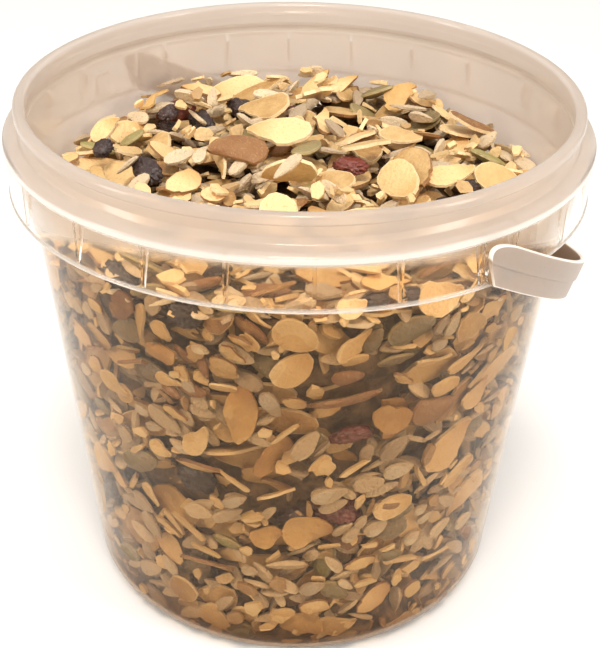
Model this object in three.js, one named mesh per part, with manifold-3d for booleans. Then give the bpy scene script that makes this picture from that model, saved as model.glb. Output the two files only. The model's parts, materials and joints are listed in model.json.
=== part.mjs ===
// A clear pail of muesli with a white strap handle, in millimetres, +Z up.
// The origin is the middle of the pail's underside, and the handle turns about an axis parallel to X.
import * as THREE from "three";
import { mergeVertices } from "three/addons/utils/BufferGeometryUtils.js";
import Module from "manifold-3d";

// ---- driving dimensions ----
const pailHeight = 166.5;
const flangeRadius = 88;
const baseRadius = 67.6; // outside, where the base corner meets the cone
const neckRadius = 83; // outside of the cone, under the flange
const collarRadius = 82.4; // outside, between flange and lip
const collarBottom = 159.7;
const lipOuter = 84.3;
const lipInner = 80.8;
const lipUnder = 163.9; // the lid snaps under the lip here
const cornerRadius = 12;
const wall = 1.2;
const footInner = 49; // the base stands on a ring from here to where the corner begins
const footDepth = 1.5;
const flangeTop = 156.8;
const flangeUnder = 155.2;
const skirtBottom = 140.3;
const skirtWall = 1.1;
const skirtInset = 0.5; // of the skirt's top from the flange's edge
const skirtTaper = 0.4;
const ribAngles = [4, 20, 35, 50.2, 65.5, 80.8]; // degrees from each ear, the same both ways
const ribThick = 1;
const lugSize = 7;
const lugHeight = 148;
const lugAngle = 14.5; // degrees from each ear
const turns = 60; // sides of every round form of the pail

const pivotHeight = 145.1;
const handleReach = 90.5; // from the pail's axis to the strap's outer face at a pivot
const handleDepth = 91.5; // from the pivot axis to the strap's outer face at mid-handle
const handleDroop = THREE.MathUtils.degToRad(28.4); // below level, as the handle hangs
const strapThick = 1.1;
const strapAbove = 7; // strap width above and below the pivot line
const strapBelow = 5;
const strapStep = 0.45; // the upper band stands proud of the lower one
const strapEnd = 8.8; // the strap runs on past its pivot, less at its lower edge
const strapEndSlant = 0.115; // per millimetre of strap width
const strapSteps = 34;
const pinRadius = 2.4;
const pinHeadRadius = 3.3;
const pinHoleRadius = 2.9;
const earBossRadius = 5.6;

const fillLevel = 140; // the muesli's mean level at the pail wall
const fillCrown = 2.5;
const fillDip = 8; // the two sides lie lower than front and back
const dipTurn = THREE.MathUtils.degToRad(52); // which way the low sides face
const pieceGap = 0.35;
const coreInset = 2.6; // from the pieces' outer faces in to the core
const topPieces = 84;
const sidePieces = 52;
const goldenAngle = Math.PI * (3 - Math.sqrt(5));

const wasm = await Module();
wasm.setup();

// ---- solids in and out of manifold ----
function solidOf(geometry) {
  const bare = geometry.clone();
  bare.deleteAttribute("normal");
  bare.deleteAttribute("uv");
  const merged = mergeVertices(bare, 1e-3);
  return new wasm.Manifold(
    new wasm.Mesh({
      numProp: 3,
      vertProperties: merged.attributes.position.array,
      triVerts: new Uint32Array(merged.index.array),
    }),
  );
}

function geometryOf(solid) {
  const mesh = solid.getMesh();
  const geometry = new THREE.BufferGeometry();
  geometry.setAttribute("position", new THREE.BufferAttribute(mesh.vertProperties, 3));
  geometry.setIndex(new THREE.BufferAttribute(mesh.triVerts, 1));
  geometry.computeVertexNormals();
  return geometry;
}

function join(solids) {
  return solids.reduce((whole, next) => whole.add(next));
}

// A round solid about Z from [radius, height] points that start and end on the axis.
function turned(points, sides) {
  const profile = points.map(([r, z]) => new THREE.Vector2(r, z));
  return new THREE.LatheGeometry(profile, sides).rotateX(Math.PI / 2);
}

// A cylinder along X from x0 to x1, round the pivot line.
function pivotCylinder(radius, x0, x1) {
  return new THREE.CylinderGeometry(radius, radius, Math.abs(x1 - x0), 24)
    .rotateZ(Math.PI / 2)
    .translate((x0 + x1) / 2, 0, pivotHeight);
}

function arc(centreR, centreZ, radius, from, to, steps) {
  return Array.from({ length: steps + 1 }, (_, i) => {
    const a = THREE.MathUtils.degToRad(from + ((to - from) * i) / steps);
    return [centreR + radius * Math.cos(a), centreZ + radius * Math.sin(a)];
  });
}

// ---- pail: one clear moulding with lip, flange, ribbed skirt and two ears ----
function coneRadius(z) {
  return baseRadius + ((neckRadius - baseRadius) * (z - cornerRadius)) / (flangeUnder - cornerRadius);
}

function pailBody() {
  const cornerAt = baseRadius - cornerRadius;
  const skirtTop = flangeRadius - skirtInset;
  const skirtFoot = skirtTop - skirtTaper;
  const skirtBead = 0.3;
  return turned(
    [
      [0, footDepth],
      [footInner - 2, footDepth],
      [footInner, 0],
      ...arc(cornerAt, cornerRadius, cornerRadius, -90, 0, 6),
      [neckRadius, flangeUnder],
      [skirtTop - skirtWall, flangeUnder],
      [skirtFoot - skirtWall, skirtBottom],
      [skirtFoot + skirtBead, skirtBottom],
      [skirtFoot + skirtBead, skirtBottom + 0.8],
      [skirtFoot, skirtBottom + 1.1],
      [skirtTop, flangeTop - 2.6],
      [flangeRadius, flangeTop - 2.2],
      [flangeRadius, flangeTop - 0.3],
      [flangeRadius - 0.4, flangeTop],
      [collarRadius + 1, flangeTop + 1.1],
      [collarRadius, collarBottom],
      [collarRadius, lipUnder - 1.1],
      [lipOuter - 0.6, lipUnder - 0.6],
      [lipOuter, lipUnder],
      [lipOuter, pailHeight - 1],
      [lipOuter - 0.7, pailHeight - 0.2],
      [lipOuter - 1.5, pailHeight],
      [lipInner + 0.9, pailHeight - 0.1],
      [lipInner, pailHeight - 0.9],
      [lipInner + 0.2, collarBottom],
      [neckRadius - wall, flangeTop],
      ...arc(cornerAt, cornerRadius, cornerRadius - wall, 0, -90, 6),
      [footInner - 0.6, wall],
      [footInner - 2.6, footDepth + wall],
      [0, footDepth + wall],
    ],
    turns,
  );
}

// A web between the pail wall and the skirt, deep at the flange and nothing at the skirt's foot.
function skirtRib(angle) {
  const outline = new THREE.Shape();
  outline.moveTo(neckRadius - 0.6, flangeUnder + 0.4);
  outline.lineTo(flangeRadius - 1.2, flangeUnder + 0.4);
  outline.lineTo(flangeRadius - 1.4, skirtBottom + 0.9);
  outline.lineTo(flangeRadius - 2.4, skirtBottom + 0.9);
  outline.closePath();
  return new THREE.ExtrudeGeometry(outline, { depth: ribThick, bevelEnabled: false })
    .translate(0, 0, -ribThick / 2)
    .rotateX(Math.PI / 2)
    .rotateZ(angle);
}

// A small rounded lug on the pail wall beside each ear, under the flange.
function lidLug(angle) {
  const half = lugSize / 2;
  const round = 1.6;
  const outline = new THREE.Shape();
  outline.absarc(half - round, half - round, round, 0, Math.PI / 2);
  outline.absarc(round - half, half - round, round, Math.PI / 2, Math.PI);
  outline.absarc(round - half, round - half, round, Math.PI, 1.5 * Math.PI);
  outline.absarc(half - round, round - half, round, 1.5 * Math.PI, 2 * Math.PI);
  const depth = 2.2;
  return new THREE.ExtrudeGeometry(outline, { depth, bevelEnabled: false, curveSegments: 2 })
    .rotateY(Math.PI / 2)
    .translate(coneRadius(lugHeight) - 0.8, 0, lugHeight)
    .rotateZ(angle);
}

function makePail() {
  const angles = [0, 180].flatMap((ear) => ribAngles.flatMap((a) => [ear + a, ear - a]));
  const parts = angles.map((a) => solidOf(skirtRib(THREE.MathUtils.degToRad(a))));
  const bossInner = flangeRadius - 3.4;
  for (const ear of [0, 180]) parts.push(solidOf(lidLug(THREE.MathUtils.degToRad(ear + lugAngle))));
  for (const side of [1, -1])
    parts.push(solidOf(pivotCylinder(earBossRadius, side * bossInner, side * (flangeRadius + 0.1))));
  let pail = join([solidOf(pailBody()), ...parts]);
  for (const side of [1, -1])
    pail = pail.subtract(
      solidOf(pivotCylinder(pinHoleRadius, side * (bossInner - 0.8), side * (flangeRadius + 2))),
    );
  return geometryOf(pail);
}

// ---- handle: a stepped strap bent to a half loop, with a headed pin inside each end ----
// Stations along the strap: a point of its outer face on the pivot line's level, and the way out.
function strapStations() {
  const out = [];
  for (let i = 3; i > 0; i--)
    out.push({ x: handleReach, along: (-strapEnd * i) / 3, nx: 1, na: 0 });
  for (let i = 0; i <= strapSteps; i++) {
    const a = (Math.PI * i) / strapSteps;
    const normal = new THREE.Vector2(Math.cos(a) / handleReach, Math.sin(a) / handleDepth).normalize();
    out.push({
      x: handleReach * Math.cos(a),
      along: handleDepth * Math.sin(a),
      nx: normal.x,
      na: normal.y,
    });
  }
  for (let i = 1; i <= 3; i++)
    out.push({ x: -handleReach, along: (-strapEnd * i) / 3, nx: -1, na: 0 });
  return out;
}

// The strap's upper edge curves down to the step at both ends.
function strapTop(along) {
  if (along >= 0) return strapAbove;
  const t = Math.min(1, -along / strapEnd);
  return 1 + (strapAbove - 1) * Math.sqrt(Math.max(0.02, 1 - t * t));
}

function strapGeometry() {
  const stations = strapStations();
  const cos = Math.cos(handleDroop);
  const sin = Math.sin(handleDroop);
  const vertices = [];
  let loop = 0;
  for (const s of stations) {
    const top = strapTop(s.along);
    const section = [
      [-strapThick, -strapBelow + 0.3],
      [-strapThick + 0.4, -strapBelow],
      [-0.4, -strapBelow],
      [0, -strapBelow + 0.4],
      [0, 0.5],
      [strapStep, 0.9],
      [strapStep, top - 0.4],
      [strapStep - 0.5, top],
      [-strapThick, top],
    ];
    loop = section.length;
    for (const [out, up] of section) {
      const slant = s.along < 0 ? 1 + strapEndSlant * (up - 1) : 1;
      const along = s.along * slant + s.na * out;
      vertices.push(s.x + s.nx * out, along * cos + up * sin, pivotHeight - along * sin + up * cos);
    }
  }
  const faces = [];
  const last = (stations.length - 1) * loop;
  for (let i = 0; i < stations.length - 1; i++)
    for (let j = 0; j < loop; j++) {
      const a = i * loop + j;
      const b = i * loop + ((j + 1) % loop);
      faces.push(a, b + loop, b, a, a + loop, b + loop);
    }
  for (let j = 1; j < loop - 1; j++) {
    faces.push(0, j, j + 1);
    faces.push(last, last + j + 1, last + j);
  }
  const geometry = new THREE.BufferGeometry();
  geometry.setAttribute("position", new THREE.Float32BufferAttribute(vertices, 3));
  geometry.setIndex(faces);
  return geometry;
}

function makeHandle() {
  const headInner = neckRadius;
  const parts = [solidOf(strapGeometry())];
  for (const side of [1, -1]) {
    parts.push(solidOf(pivotCylinder(pinRadius, side * (headInner + 0.2), side * (handleReach - 0.5))));
    parts.push(solidOf(pivotCylinder(pinHeadRadius, side * headInner, side * (headInner + 1.1))));
  }
  return geometryOf(join(parts));
}

// ---- muesli: a core with flakes, kernels, seeds and fruit fused on ----
function seededRandom(seed) {
  let state = seed;
  return () => {
    state = (state + 0x6d2b79f5) | 0;
    let t = Math.imul(state ^ (state >>> 15), 1 | state);
    t = (t + Math.imul(t ^ (t >>> 7), 61 | t)) ^ t;
    return ((t ^ (t >>> 14)) >>> 0) / 4294967296;
  };
}
const random = seededRandom(27);
const between = (low, high) => low + (high - low) * random();

// Height of the heap, which dips at two sides and is crowned in the middle.
function heapLevel(x, y) {
  const reach = 80;
  const sideways = (x * Math.cos(dipTurn) + y * Math.sin(dipTurn)) / reach;
  const out = Math.hypot(x, y) / reach;
  return fillLevel + fillCrown * (1 - out * out) - fillDip * sideways * sideways;
}

function heapCore() {
  const cornerAt = baseRadius - cornerRadius;
  const inset = wall + coreInset;
  const rimAt = fillLevel - 2;
  const geometry = turned(
    [
      [0, footDepth + wall + pieceGap],
      [cornerAt - 4, footDepth + wall + pieceGap],
      ...arc(cornerAt, cornerRadius, cornerRadius - inset, -60, 0, 3),
      [coneRadius(rimAt) - inset, rimAt],
      [54, rimAt],
      [27, rimAt],
      [0, rimAt],
    ],
    36,
  );
  const position = geometry.attributes.position;
  for (let i = 0; i < position.count; i++) {
    if (position.getZ(i) < rimAt - 1) continue;
    position.setZ(i, heapLevel(position.getX(i), position.getY(i)) - 2);
  }
  return solidOf(geometry);
}

// An almond slice: a thin plate with an uneven oval outline.
function almondSlice() {
  const half = between(7.5, 11);
  const across = half * between(0.5, 0.68);
  const thick = between(1.3, 1.8);
  const outline = new THREE.Shape();
  const sides = 7;
  for (let i = 0; i < sides; i++) {
    const a = (2 * Math.PI * (i + between(-0.2, 0.2))) / sides;
    const r = between(0.88, 1.08);
    outline[i ? "lineTo" : "moveTo"](half * r * Math.cos(a), across * r * Math.sin(a));
  }
  outline.closePath();
  const geometry = new THREE.ExtrudeGeometry(outline, { depth: thick, bevelEnabled: false });
  geometry.translate(0, 0, -thick / 2);
  return { geometry, half, thick };
}

// A rounded drop, pointed at one end: a kernel or a seed.
function drop(half, across, thick, sides) {
  const geometry = new THREE.SphereGeometry(1, sides, 3).rotateZ(Math.PI / 2);
  const position = geometry.attributes.position;
  for (let i = 0; i < position.count; i++) {
    const slim = 1 - 0.22 * position.getX(i);
    position.setY(i, position.getY(i) * slim);
  }
  geometry.scale(half, across, thick / 2);
  return { geometry, half, thick };
}
const sunflowerKernel = () => drop(between(4.3, 5.4), between(2.2, 2.8), between(2.4, 3.1), 5);
const pumpkinSeed = () => drop(between(6.2, 7.6), between(3.4, 4.2), between(2.2, 2.8), 6);

function driedFruit() {
  const half = between(6.5, 9);
  const geometry = mergeVertices(bareOf(new THREE.IcosahedronGeometry(1, 0)), 1e-3);
  const position = geometry.attributes.position;
  for (let i = 0; i < position.count; i++) {
    const swell = between(0.85, 1.12);
    position.setXYZ(i, position.getX(i) * swell, position.getY(i) * swell, position.getZ(i) * swell);
  }
  geometry.scale(half, half * 0.68, half * 0.5);
  return { geometry, half, thick: half };
}

function bareOf(geometry) {
  geometry.deleteAttribute("normal");
  geometry.deleteAttribute("uv");
  return geometry;
}

const mixture = [
  almondSlice, sunflowerKernel, almondSlice, pumpkinSeed, almondSlice, driedFruit,
  sunflowerKernel, almondSlice, pumpkinSeed, sunflowerKernel, almondSlice, sunflowerKernel,
];

// Lays a piece with its flat side along a plane, at a point and with a turn in that plane.
function laid(piece, right, normal, at, turn, tilt) {
  const up = new THREE.Vector3().crossVectors(normal, right);
  const frame = new THREE.Matrix4().makeBasis(right, up, normal).setPosition(at);
  return piece.geometry.clone().rotateY(tilt).rotateZ(turn).applyMatrix4(frame);
}

function topPiece(i) {
  const piece = mixture[i % mixture.length]();
  const reach = coneRadius(fillLevel) - wall - piece.half * 1.1 - 0.8;
  const out = Math.min(reach, coneRadius(fillLevel) * Math.sqrt((i + 0.5) / topPieces));
  const a = i * goldenAngle;
  const x = out * Math.cos(a);
  const y = out * Math.sin(a);
  const at = new THREE.Vector3(x, y, heapLevel(x, y) - between(0.6, 1.6));
  const right = new THREE.Vector3(1, 0, 0);
  const up = new THREE.Vector3(0, 0, 1);
  return laid(piece, right, up, at, between(0, 2 * Math.PI), between(-0.32, 0.32));
}

function sidePiece(i) {
  const piece = mixture[(i * 5 + 2) % mixture.length]();
  const low = cornerRadius + 8;
  const a = i * goldenAngle;
  const bottom = heapLevel(76 * Math.cos(a), 76 * Math.sin(a)) - 12;
  const z = low + ((bottom - low) * (i + 0.5)) / sidePieces;
  const slope = (neckRadius - baseRadius) / (flangeUnder - cornerRadius);
  const normal = new THREE.Vector3(Math.cos(a), Math.sin(a), -slope).normalize();
  const right = new THREE.Vector3(-Math.sin(a), Math.cos(a), 0);
  const bulge = (1.12 * piece.half) ** 2 / (2 * coneRadius(z)); // a flat piece against a round wall
  const deep = wall + pieceGap + bulge + Math.min(piece.thick, 3) / 2 + (piece.thick > 3 ? 1.4 : 0);
  const at = new THREE.Vector3(coneRadius(z) * Math.cos(a), coneRadius(z) * Math.sin(a), z);
  at.addScaledVector(normal, -deep);
  return laid(piece, right, normal, at, between(-0.6, 0.6), between(-0.03, 0.03));
}

// What may be filled: the pail's inside, a little in from its wall.
function roomInPail() {
  const cornerAt = baseRadius - cornerRadius;
  const inset = wall + pieceGap;
  return solidOf(
    turned(
      [
        [0, footDepth + wall + pieceGap],
        [footInner - 2, footDepth + wall + pieceGap],
        ...arc(cornerAt, cornerRadius, cornerRadius - inset, -60, 0, 4),
        [coneRadius(flangeUnder - 2) - inset, flangeUnder - 2],
        [0, flangeUnder - 2],
      ],
      turns,
    ),
  );
}

function makeMuesli() {
  const pieces = [];
  for (let i = 0; i < topPieces; i++) pieces.push(solidOf(topPiece(i)));
  for (let i = 0; i < sidePieces; i++) pieces.push(solidOf(sidePiece(i)));
  const heap = join([heapCore(), ...pieces]).intersect(roomInPail());
  const whole = heap.decompose().reduce((a, b) => (b.volume() > a.volume() ? b : a));
  return geometryOf(whole);
}

// ---- the part ----
const clearPlastic = new THREE.MeshStandardMaterial({
  color: 0xe9ddd4,
  roughness: 0.12,
  metalness: 0,
  transparent: true,
  opacity: 0.3,
});
const whitePlastic = new THREE.MeshStandardMaterial({ color: 0xe8ddd3, roughness: 0.35, metalness: 0 });
const muesliMix = new THREE.MeshStandardMaterial({ color: 0xd9b57c, roughness: 0.6, metalness: 0 });

function named(name, geometry, material) {
  const mesh = new THREE.Mesh(geometry, material);
  mesh.name = name;
  return mesh;
}

const group = new THREE.Group();
group.add(named("pail", makePail(), clearPlastic));
group.add(named("handle", makeHandle(), whitePlastic));
group.add(named("muesli", makeMuesli(), muesliMix));

export default group;
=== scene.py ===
import json
import math
import bpy
import bmesh
import numpy as np
from mathutils import Matrix, Vector, noise

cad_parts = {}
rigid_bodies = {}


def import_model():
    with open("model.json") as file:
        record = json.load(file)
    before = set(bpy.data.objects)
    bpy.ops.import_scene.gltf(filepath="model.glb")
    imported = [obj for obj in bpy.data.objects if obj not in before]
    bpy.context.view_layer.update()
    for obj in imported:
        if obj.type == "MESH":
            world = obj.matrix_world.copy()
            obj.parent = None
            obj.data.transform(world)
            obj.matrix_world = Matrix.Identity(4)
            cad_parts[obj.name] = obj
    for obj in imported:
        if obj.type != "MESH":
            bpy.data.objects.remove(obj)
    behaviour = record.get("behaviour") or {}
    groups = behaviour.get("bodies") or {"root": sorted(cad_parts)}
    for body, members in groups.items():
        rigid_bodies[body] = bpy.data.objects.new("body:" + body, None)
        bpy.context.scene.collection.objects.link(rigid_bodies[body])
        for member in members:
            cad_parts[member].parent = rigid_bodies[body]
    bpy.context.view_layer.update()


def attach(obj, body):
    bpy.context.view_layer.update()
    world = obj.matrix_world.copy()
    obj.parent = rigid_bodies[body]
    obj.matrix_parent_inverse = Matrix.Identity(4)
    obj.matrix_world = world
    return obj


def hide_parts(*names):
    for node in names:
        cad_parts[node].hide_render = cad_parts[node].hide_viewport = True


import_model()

mm = 0.001
print("frame loaded")

# the photograph's camera, in the part's frame
view = {
    "place": (0.31103, -0.24300, 0.31900),
    "right": (0.60804, 0.79376, 0.01516),
    "up": (-0.43093, 0.31394, 0.84602),
    "lens": 84.0,
    "sensor": 36.0,
    "shiftX": 0.00783,
    "shiftY": 0.06707,
}


def makeMesh(name, points, faces, sharpAngle=None):
    mesh = bpy.data.meshes.new(name)
    mesh.from_pydata((np.asarray(points, float) * mm).tolist(), [], faces)
    bm = bmesh.new()
    bm.from_mesh(mesh)
    bmesh.ops.recalc_face_normals(bm, faces=bm.faces)
    bm.to_mesh(mesh)
    bm.free()
    mesh.shade_smooth()
    if sharpAngle:
        mesh.set_sharp_from_angle(angle=math.radians(sharpAngle))
    return mesh


def addObject(name, mesh, material=None):
    piece = bpy.data.objects.new(name, mesh)
    bpy.context.scene.collection.objects.link(piece)
    if material:
        mesh.materials.clear()
        mesh.materials.append(material)
    return piece


def applied(piece):
    # the piece with its modifiers, as a plain mesh
    bpy.context.view_layer.update()
    evaluated = piece.evaluated_get(bpy.context.evaluated_depsgraph_get())
    mesh = bpy.data.meshes.new_from_object(evaluated)
    piece.modifiers.clear()
    return mesh


def paintMark(mesh, name, values):
    mark = mesh.attributes.new(name, "FLOAT", "POINT")
    mark.data.foreach_set("value", np.asarray(values, np.float32))


def rounded(corners, steps=4):
    # corners are (r, z, fillet); a fillet turns its corner into a short arc
    path = []
    last = len(corners) - 1
    for i, (r, z, fillet) in enumerate(corners):
        here = Vector((r, z))
        if fillet <= 0 or i in (0, last):
            path.append((r, z))
            continue
        before = Vector(corners[i - 1][:2]) - here
        after = Vector(corners[i + 1][:2]) - here
        half = before.angle(after) / 2
        cut = min(fillet / math.tan(half), before.length * 0.48, after.length * 0.48)
        start = here + before.normalized() * cut
        end = here + after.normalized() * cut
        for k in range(steps + 1):
            t = k / steps
            p = start * (1 - t) ** 2 + here * 2 * t * (1 - t) + end * t ** 2
            path.append((p.x, p.y))
    return path


def ringFaces(rings, sides):
    # the faces of a closed form: a first point, rings of points, and a last point
    faces = []
    top = 1 + (rings - 1) * sides
    for k in range(sides):
        n = (k + 1) % sides
        faces += [(0, 1 + n, 1 + k), (top + sides, top + k, top + n)]
    for a in range(1, top, sides):
        for k in range(sides):
            n = (k + 1) % sides
            faces.append((a + k, a + n, a + sides + n, a + sides + k))
    return faces


def prismFaces(n):
    # two outlines of n points, and the band between them
    faces = [tuple(range(n)), tuple(range(2 * n - 1, n - 1, -1))]
    return faces + [(k, (k + 1) % n, n + (k + 1) % n, n + k) for k in range(n)]


def turnProfile(path, sides):
    # a closed round solid about Z from a path that starts and ends on the axis
    points = [(0, 0, path[0][1])]
    for r, z in path[1:-1]:
        for k in range(sides):
            a = 2 * math.pi * k / sides
            points.append((r * math.cos(a), r * math.sin(a), z))
    points.append((0, 0, path[-1][1]))
    return points, ringFaces(len(path) - 2, sides)


def aboutZ(points, degrees):
    turn = Matrix.Rotation(math.radians(degrees), 3, "Z")
    return [tuple(turn @ Vector(p)) for p in points]


def addNode(tree, kind, inputs=None, **settings):
    # an input gets a value, or the socket that feeds it
    node = tree.nodes.new(kind)
    for key, value in settings.items():
        setattr(node, key, value)
    for key, value in (inputs or {}).items():
        if isinstance(value, bpy.types.NodeSocket):
            tree.links.new(value, node.inputs[key])
        else:
            node.inputs[key].default_value = value
    return node


def spreadNodes(tree, last):
    # stands the nodes in columns, from the last one back
    column = {last.name: 0}
    waiting = [last]
    for node in waiting:
        for link in [link for socket in node.inputs for link in socket.links]:
            source = link.from_node
            if column.get(source.name, 0) <= column[node.name]:
                column[source.name] = column[node.name] + 1
                waiting.append(source)
    filled = {}
    for node in tree.nodes:
        at = column.get(node.name, 0)
        node.location = (-260 * at, -240 * filled.get(at, 0))
        filled[at] = filled.get(at, 0) + 1


# Geometry Nodes: set shapes out on points, with their own turn, size and shape
def makeSetOutTree():
    tree = bpy.data.node_groups.new("setOut", "GeometryNodeTree")
    sockets = {}
    for name, kind, way in [
        ("Points", "NodeSocketGeometry", "INPUT"),
        ("Shapes", "NodeSocketCollection", "INPUT"),
        ("Finish", "NodeSocketMaterial", "INPUT"),
        ("Overall Size", "NodeSocketFloat", "INPUT"),
        ("Seed", "NodeSocketInt", "INPUT"),
        ("Least Tone", "NodeSocketFloat", "INPUT"),
        ("Result", "NodeSocketGeometry", "OUTPUT"),
    ]:
        socket = tree.interface.new_socket(name, in_out=way, socket_type=kind)
        sockets[name] = socket.identifier
    given = addNode(tree, "NodeGroupInput").outputs

    def named(name, kind):
        node = addNode(tree, "GeometryNodeInputNamedAttribute", {"Name": name}, data_type=kind)
        return node.outputs["Attribute"]

    shapes = addNode(tree, "GeometryNodeCollectionInfo", {
        "Collection": given["Shapes"], "Separate Children": True, "Reset Children": True,
    })
    scale = addNode(tree, "ShaderNodeVectorMath", {
        0: named("size", "FLOAT_VECTOR"), "Scale": given["Overall Size"],
    }, operation="SCALE")
    place = addNode(tree, "GeometryNodeInstanceOnPoints", {
        "Points": given["Points"], "Instance": shapes.outputs["Instances"], "Pick Instance": True,
        "Instance Index": named("shape", "INT"), "Rotation": named("turn", "QUATERNION"),
        "Scale": scale.outputs["Vector"],
    })
    # a piece shows its own tone where it has one, and otherwise a random one
    own = named("ownTone", "FLOAT")
    known = addNode(tree, "FunctionNodeCompare", {"A": own}, operation="GREATER_EQUAL")
    anyTone = addNode(tree, "FunctionNodeRandomValue", {
        2: given["Least Tone"], "Seed": given["Seed"],
    }, data_type="FLOAT")
    tone = addNode(tree, "GeometryNodeSwitch", {
        "Switch": known.outputs["Result"], "False": anyTone.outputs[1], "True": own,
    }, input_type="FLOAT")
    store = addNode(tree, "GeometryNodeStoreNamedAttribute", {
        "Geometry": place.outputs["Instances"], "Name": "tone", "Value": tone.outputs["Output"],
    }, data_type="FLOAT", domain="INSTANCE")
    realize = addNode(tree, "GeometryNodeRealizeInstances", {"Geometry": store.outputs["Geometry"]})
    finish = addNode(tree, "GeometryNodeSetMaterial", {
        "Geometry": realize.outputs["Geometry"], "Material": given["Finish"],
    })
    result = addNode(tree, "NodeGroupOutput", {"Result": finish.outputs["Geometry"]})
    spreadNodes(tree, result)
    return tree, sockets


setOutTree, setOutSockets = makeSetOutTree()


def setOut(name, shapeMeshes, places, material, seed=1, overallSize=1.0, leastTone=0.12):
    # places are (point in mm, quaternion, size, shape number, tone or -1, shade)
    group = bpy.data.collections.new(name + "Shapes")
    for i, mesh in enumerate(shapeMeshes):
        group.objects.link(bpy.data.objects.new(f"{name}{i:02d}", mesh))
    points = bpy.data.meshes.new(name + "Points")
    points.from_pydata([[c * mm for c in p[0]] for p in places], [], [])
    for mark, kind, field, values in [
        ("turn", "QUATERNION", "value", [tuple(p[1]) for p in places]),
        ("size", "FLOAT_VECTOR", "vector", [p[2] for p in places]),
        ("shape", "INT", "value", [p[3] for p in places]),
        ("ownTone", "FLOAT", "value", [p[4] for p in places]),
        ("shade", "FLOAT", "value", [p[5] for p in places]),
    ]:
        values = np.array(values, np.int32 if kind == "INT" else np.float32)
        points.attributes.new(mark, kind, "POINT").data.foreach_set(field, values.ravel())
    carrier = addObject(name + "Carrier", points)
    modifier = carrier.modifiers.new("setOut", "NODES")
    modifier.node_group = setOutTree
    modifier[setOutSockets["Shapes"]] = group
    modifier[setOutSockets["Finish"]] = material
    modifier[setOutSockets["Overall Size"]] = overallSize
    modifier[setOutSockets["Seed"]] = seed
    modifier[setOutSockets["Least Tone"]] = leastTone
    mesh = applied(carrier)
    mesh.name = name
    for spent in ("turn", "size", "shape", "ownTone"):
        if spent in mesh.attributes:
            mesh.attributes.remove(mesh.attributes[spent])
    for helper in [carrier, *group.objects]:
        bpy.data.objects.remove(helper)
    bpy.data.collections.remove(group)
    piece = addObject(name, mesh)
    print(name, len(places), "shapes,", len(mesh.polygons), "faces")
    return piece


# what the materials share
def startMaterial(name):
    material = bpy.data.materials.new(name)
    material.use_nodes = True
    material.node_tree.nodes.clear()
    return material, material.node_tree


def endMaterial(tree, surface):
    spreadNodes(tree, addNode(tree, "ShaderNodeOutputMaterial", {"Surface": surface}))


def objectNoise(tree, scale, detail, roughness=0.5):
    spot = addNode(tree, "ShaderNodeTexCoord").outputs["Object"]
    return addNode(tree, "ShaderNodeTexNoise", {
        "Vector": spot, "Scale": scale, "Detail": detail, "Roughness": roughness,
    }).outputs["Fac"]


def bumpNormal(tree, height, strength, distance):
    return addNode(tree, "ShaderNodeBump", {
        "Height": height, "Strength": strength, "Distance": distance,
    }).outputs["Normal"]


def markOf(tree, name):
    return addNode(tree, "ShaderNodeAttribute", attribute_name=name).outputs["Fac"]


def spread(tree, source, start, end, low=0.0, high=1.0):
    # from low at start to high at end
    return addNode(tree, "ShaderNodeMapRange", {
        "Value": source, "From Min": start, "From Max": end, "To Min": low, "To Max": high,
    }).outputs["Result"]


def combine(tree, operation, *values):
    return addNode(tree, "ShaderNodeMath", dict(enumerate(values)), operation=operation).outputs["Value"]


def mixColour(tree, factor, first, second, blend="MIX"):
    first, second = [c if isinstance(c, bpy.types.NodeSocket) else (*c, 1) for c in (first, second)]
    return addNode(tree, "ShaderNodeMix", {
        "Factor": factor, "A": first, "B": second,
    }, data_type="RGBA", blend_type=blend).outputs["Result"]


def colourRamp(tree, factor, stops):
    ramp = addNode(tree, "ShaderNodeValToRGB", {"Fac": factor})
    elements = ramp.color_ramp.elements
    for i, (at, colour) in enumerate(stops):
        stop = elements[i] if i < 2 else elements.new(at)
        stop.position = at
        stop.color = (*colour, 1)
    return ramp.outputs["Color"]


# muesli: how it fills the pail, in mm
heap = {
    "level": 140.0,  # mean level at the wall
    "crown": 2.5,
    "dip": 8.0,  # two sides lie lower than front and back
    "dipTurn": math.radians(52),
    "reach": 80.0,
    "grain": 0.6,  # cell of the height fields
    "topDepth": 9.0,  # of loose pieces over the core
    "wallDepth": 8.5,
    "intoWall": 0.3,
    "meanRadius": 76,
    "floorReach": 52,
    "shade": 1.25,  # painted shade of pieces against the wall; it ends behind the skirt
    "footShade": 0.75,
    "footHeight": 10,
    "litBetween": (132, 138),
    # painted light: pieces above this height get light tones
    "paintedLightFrom": 134,
    "seed": 11,
}

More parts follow.
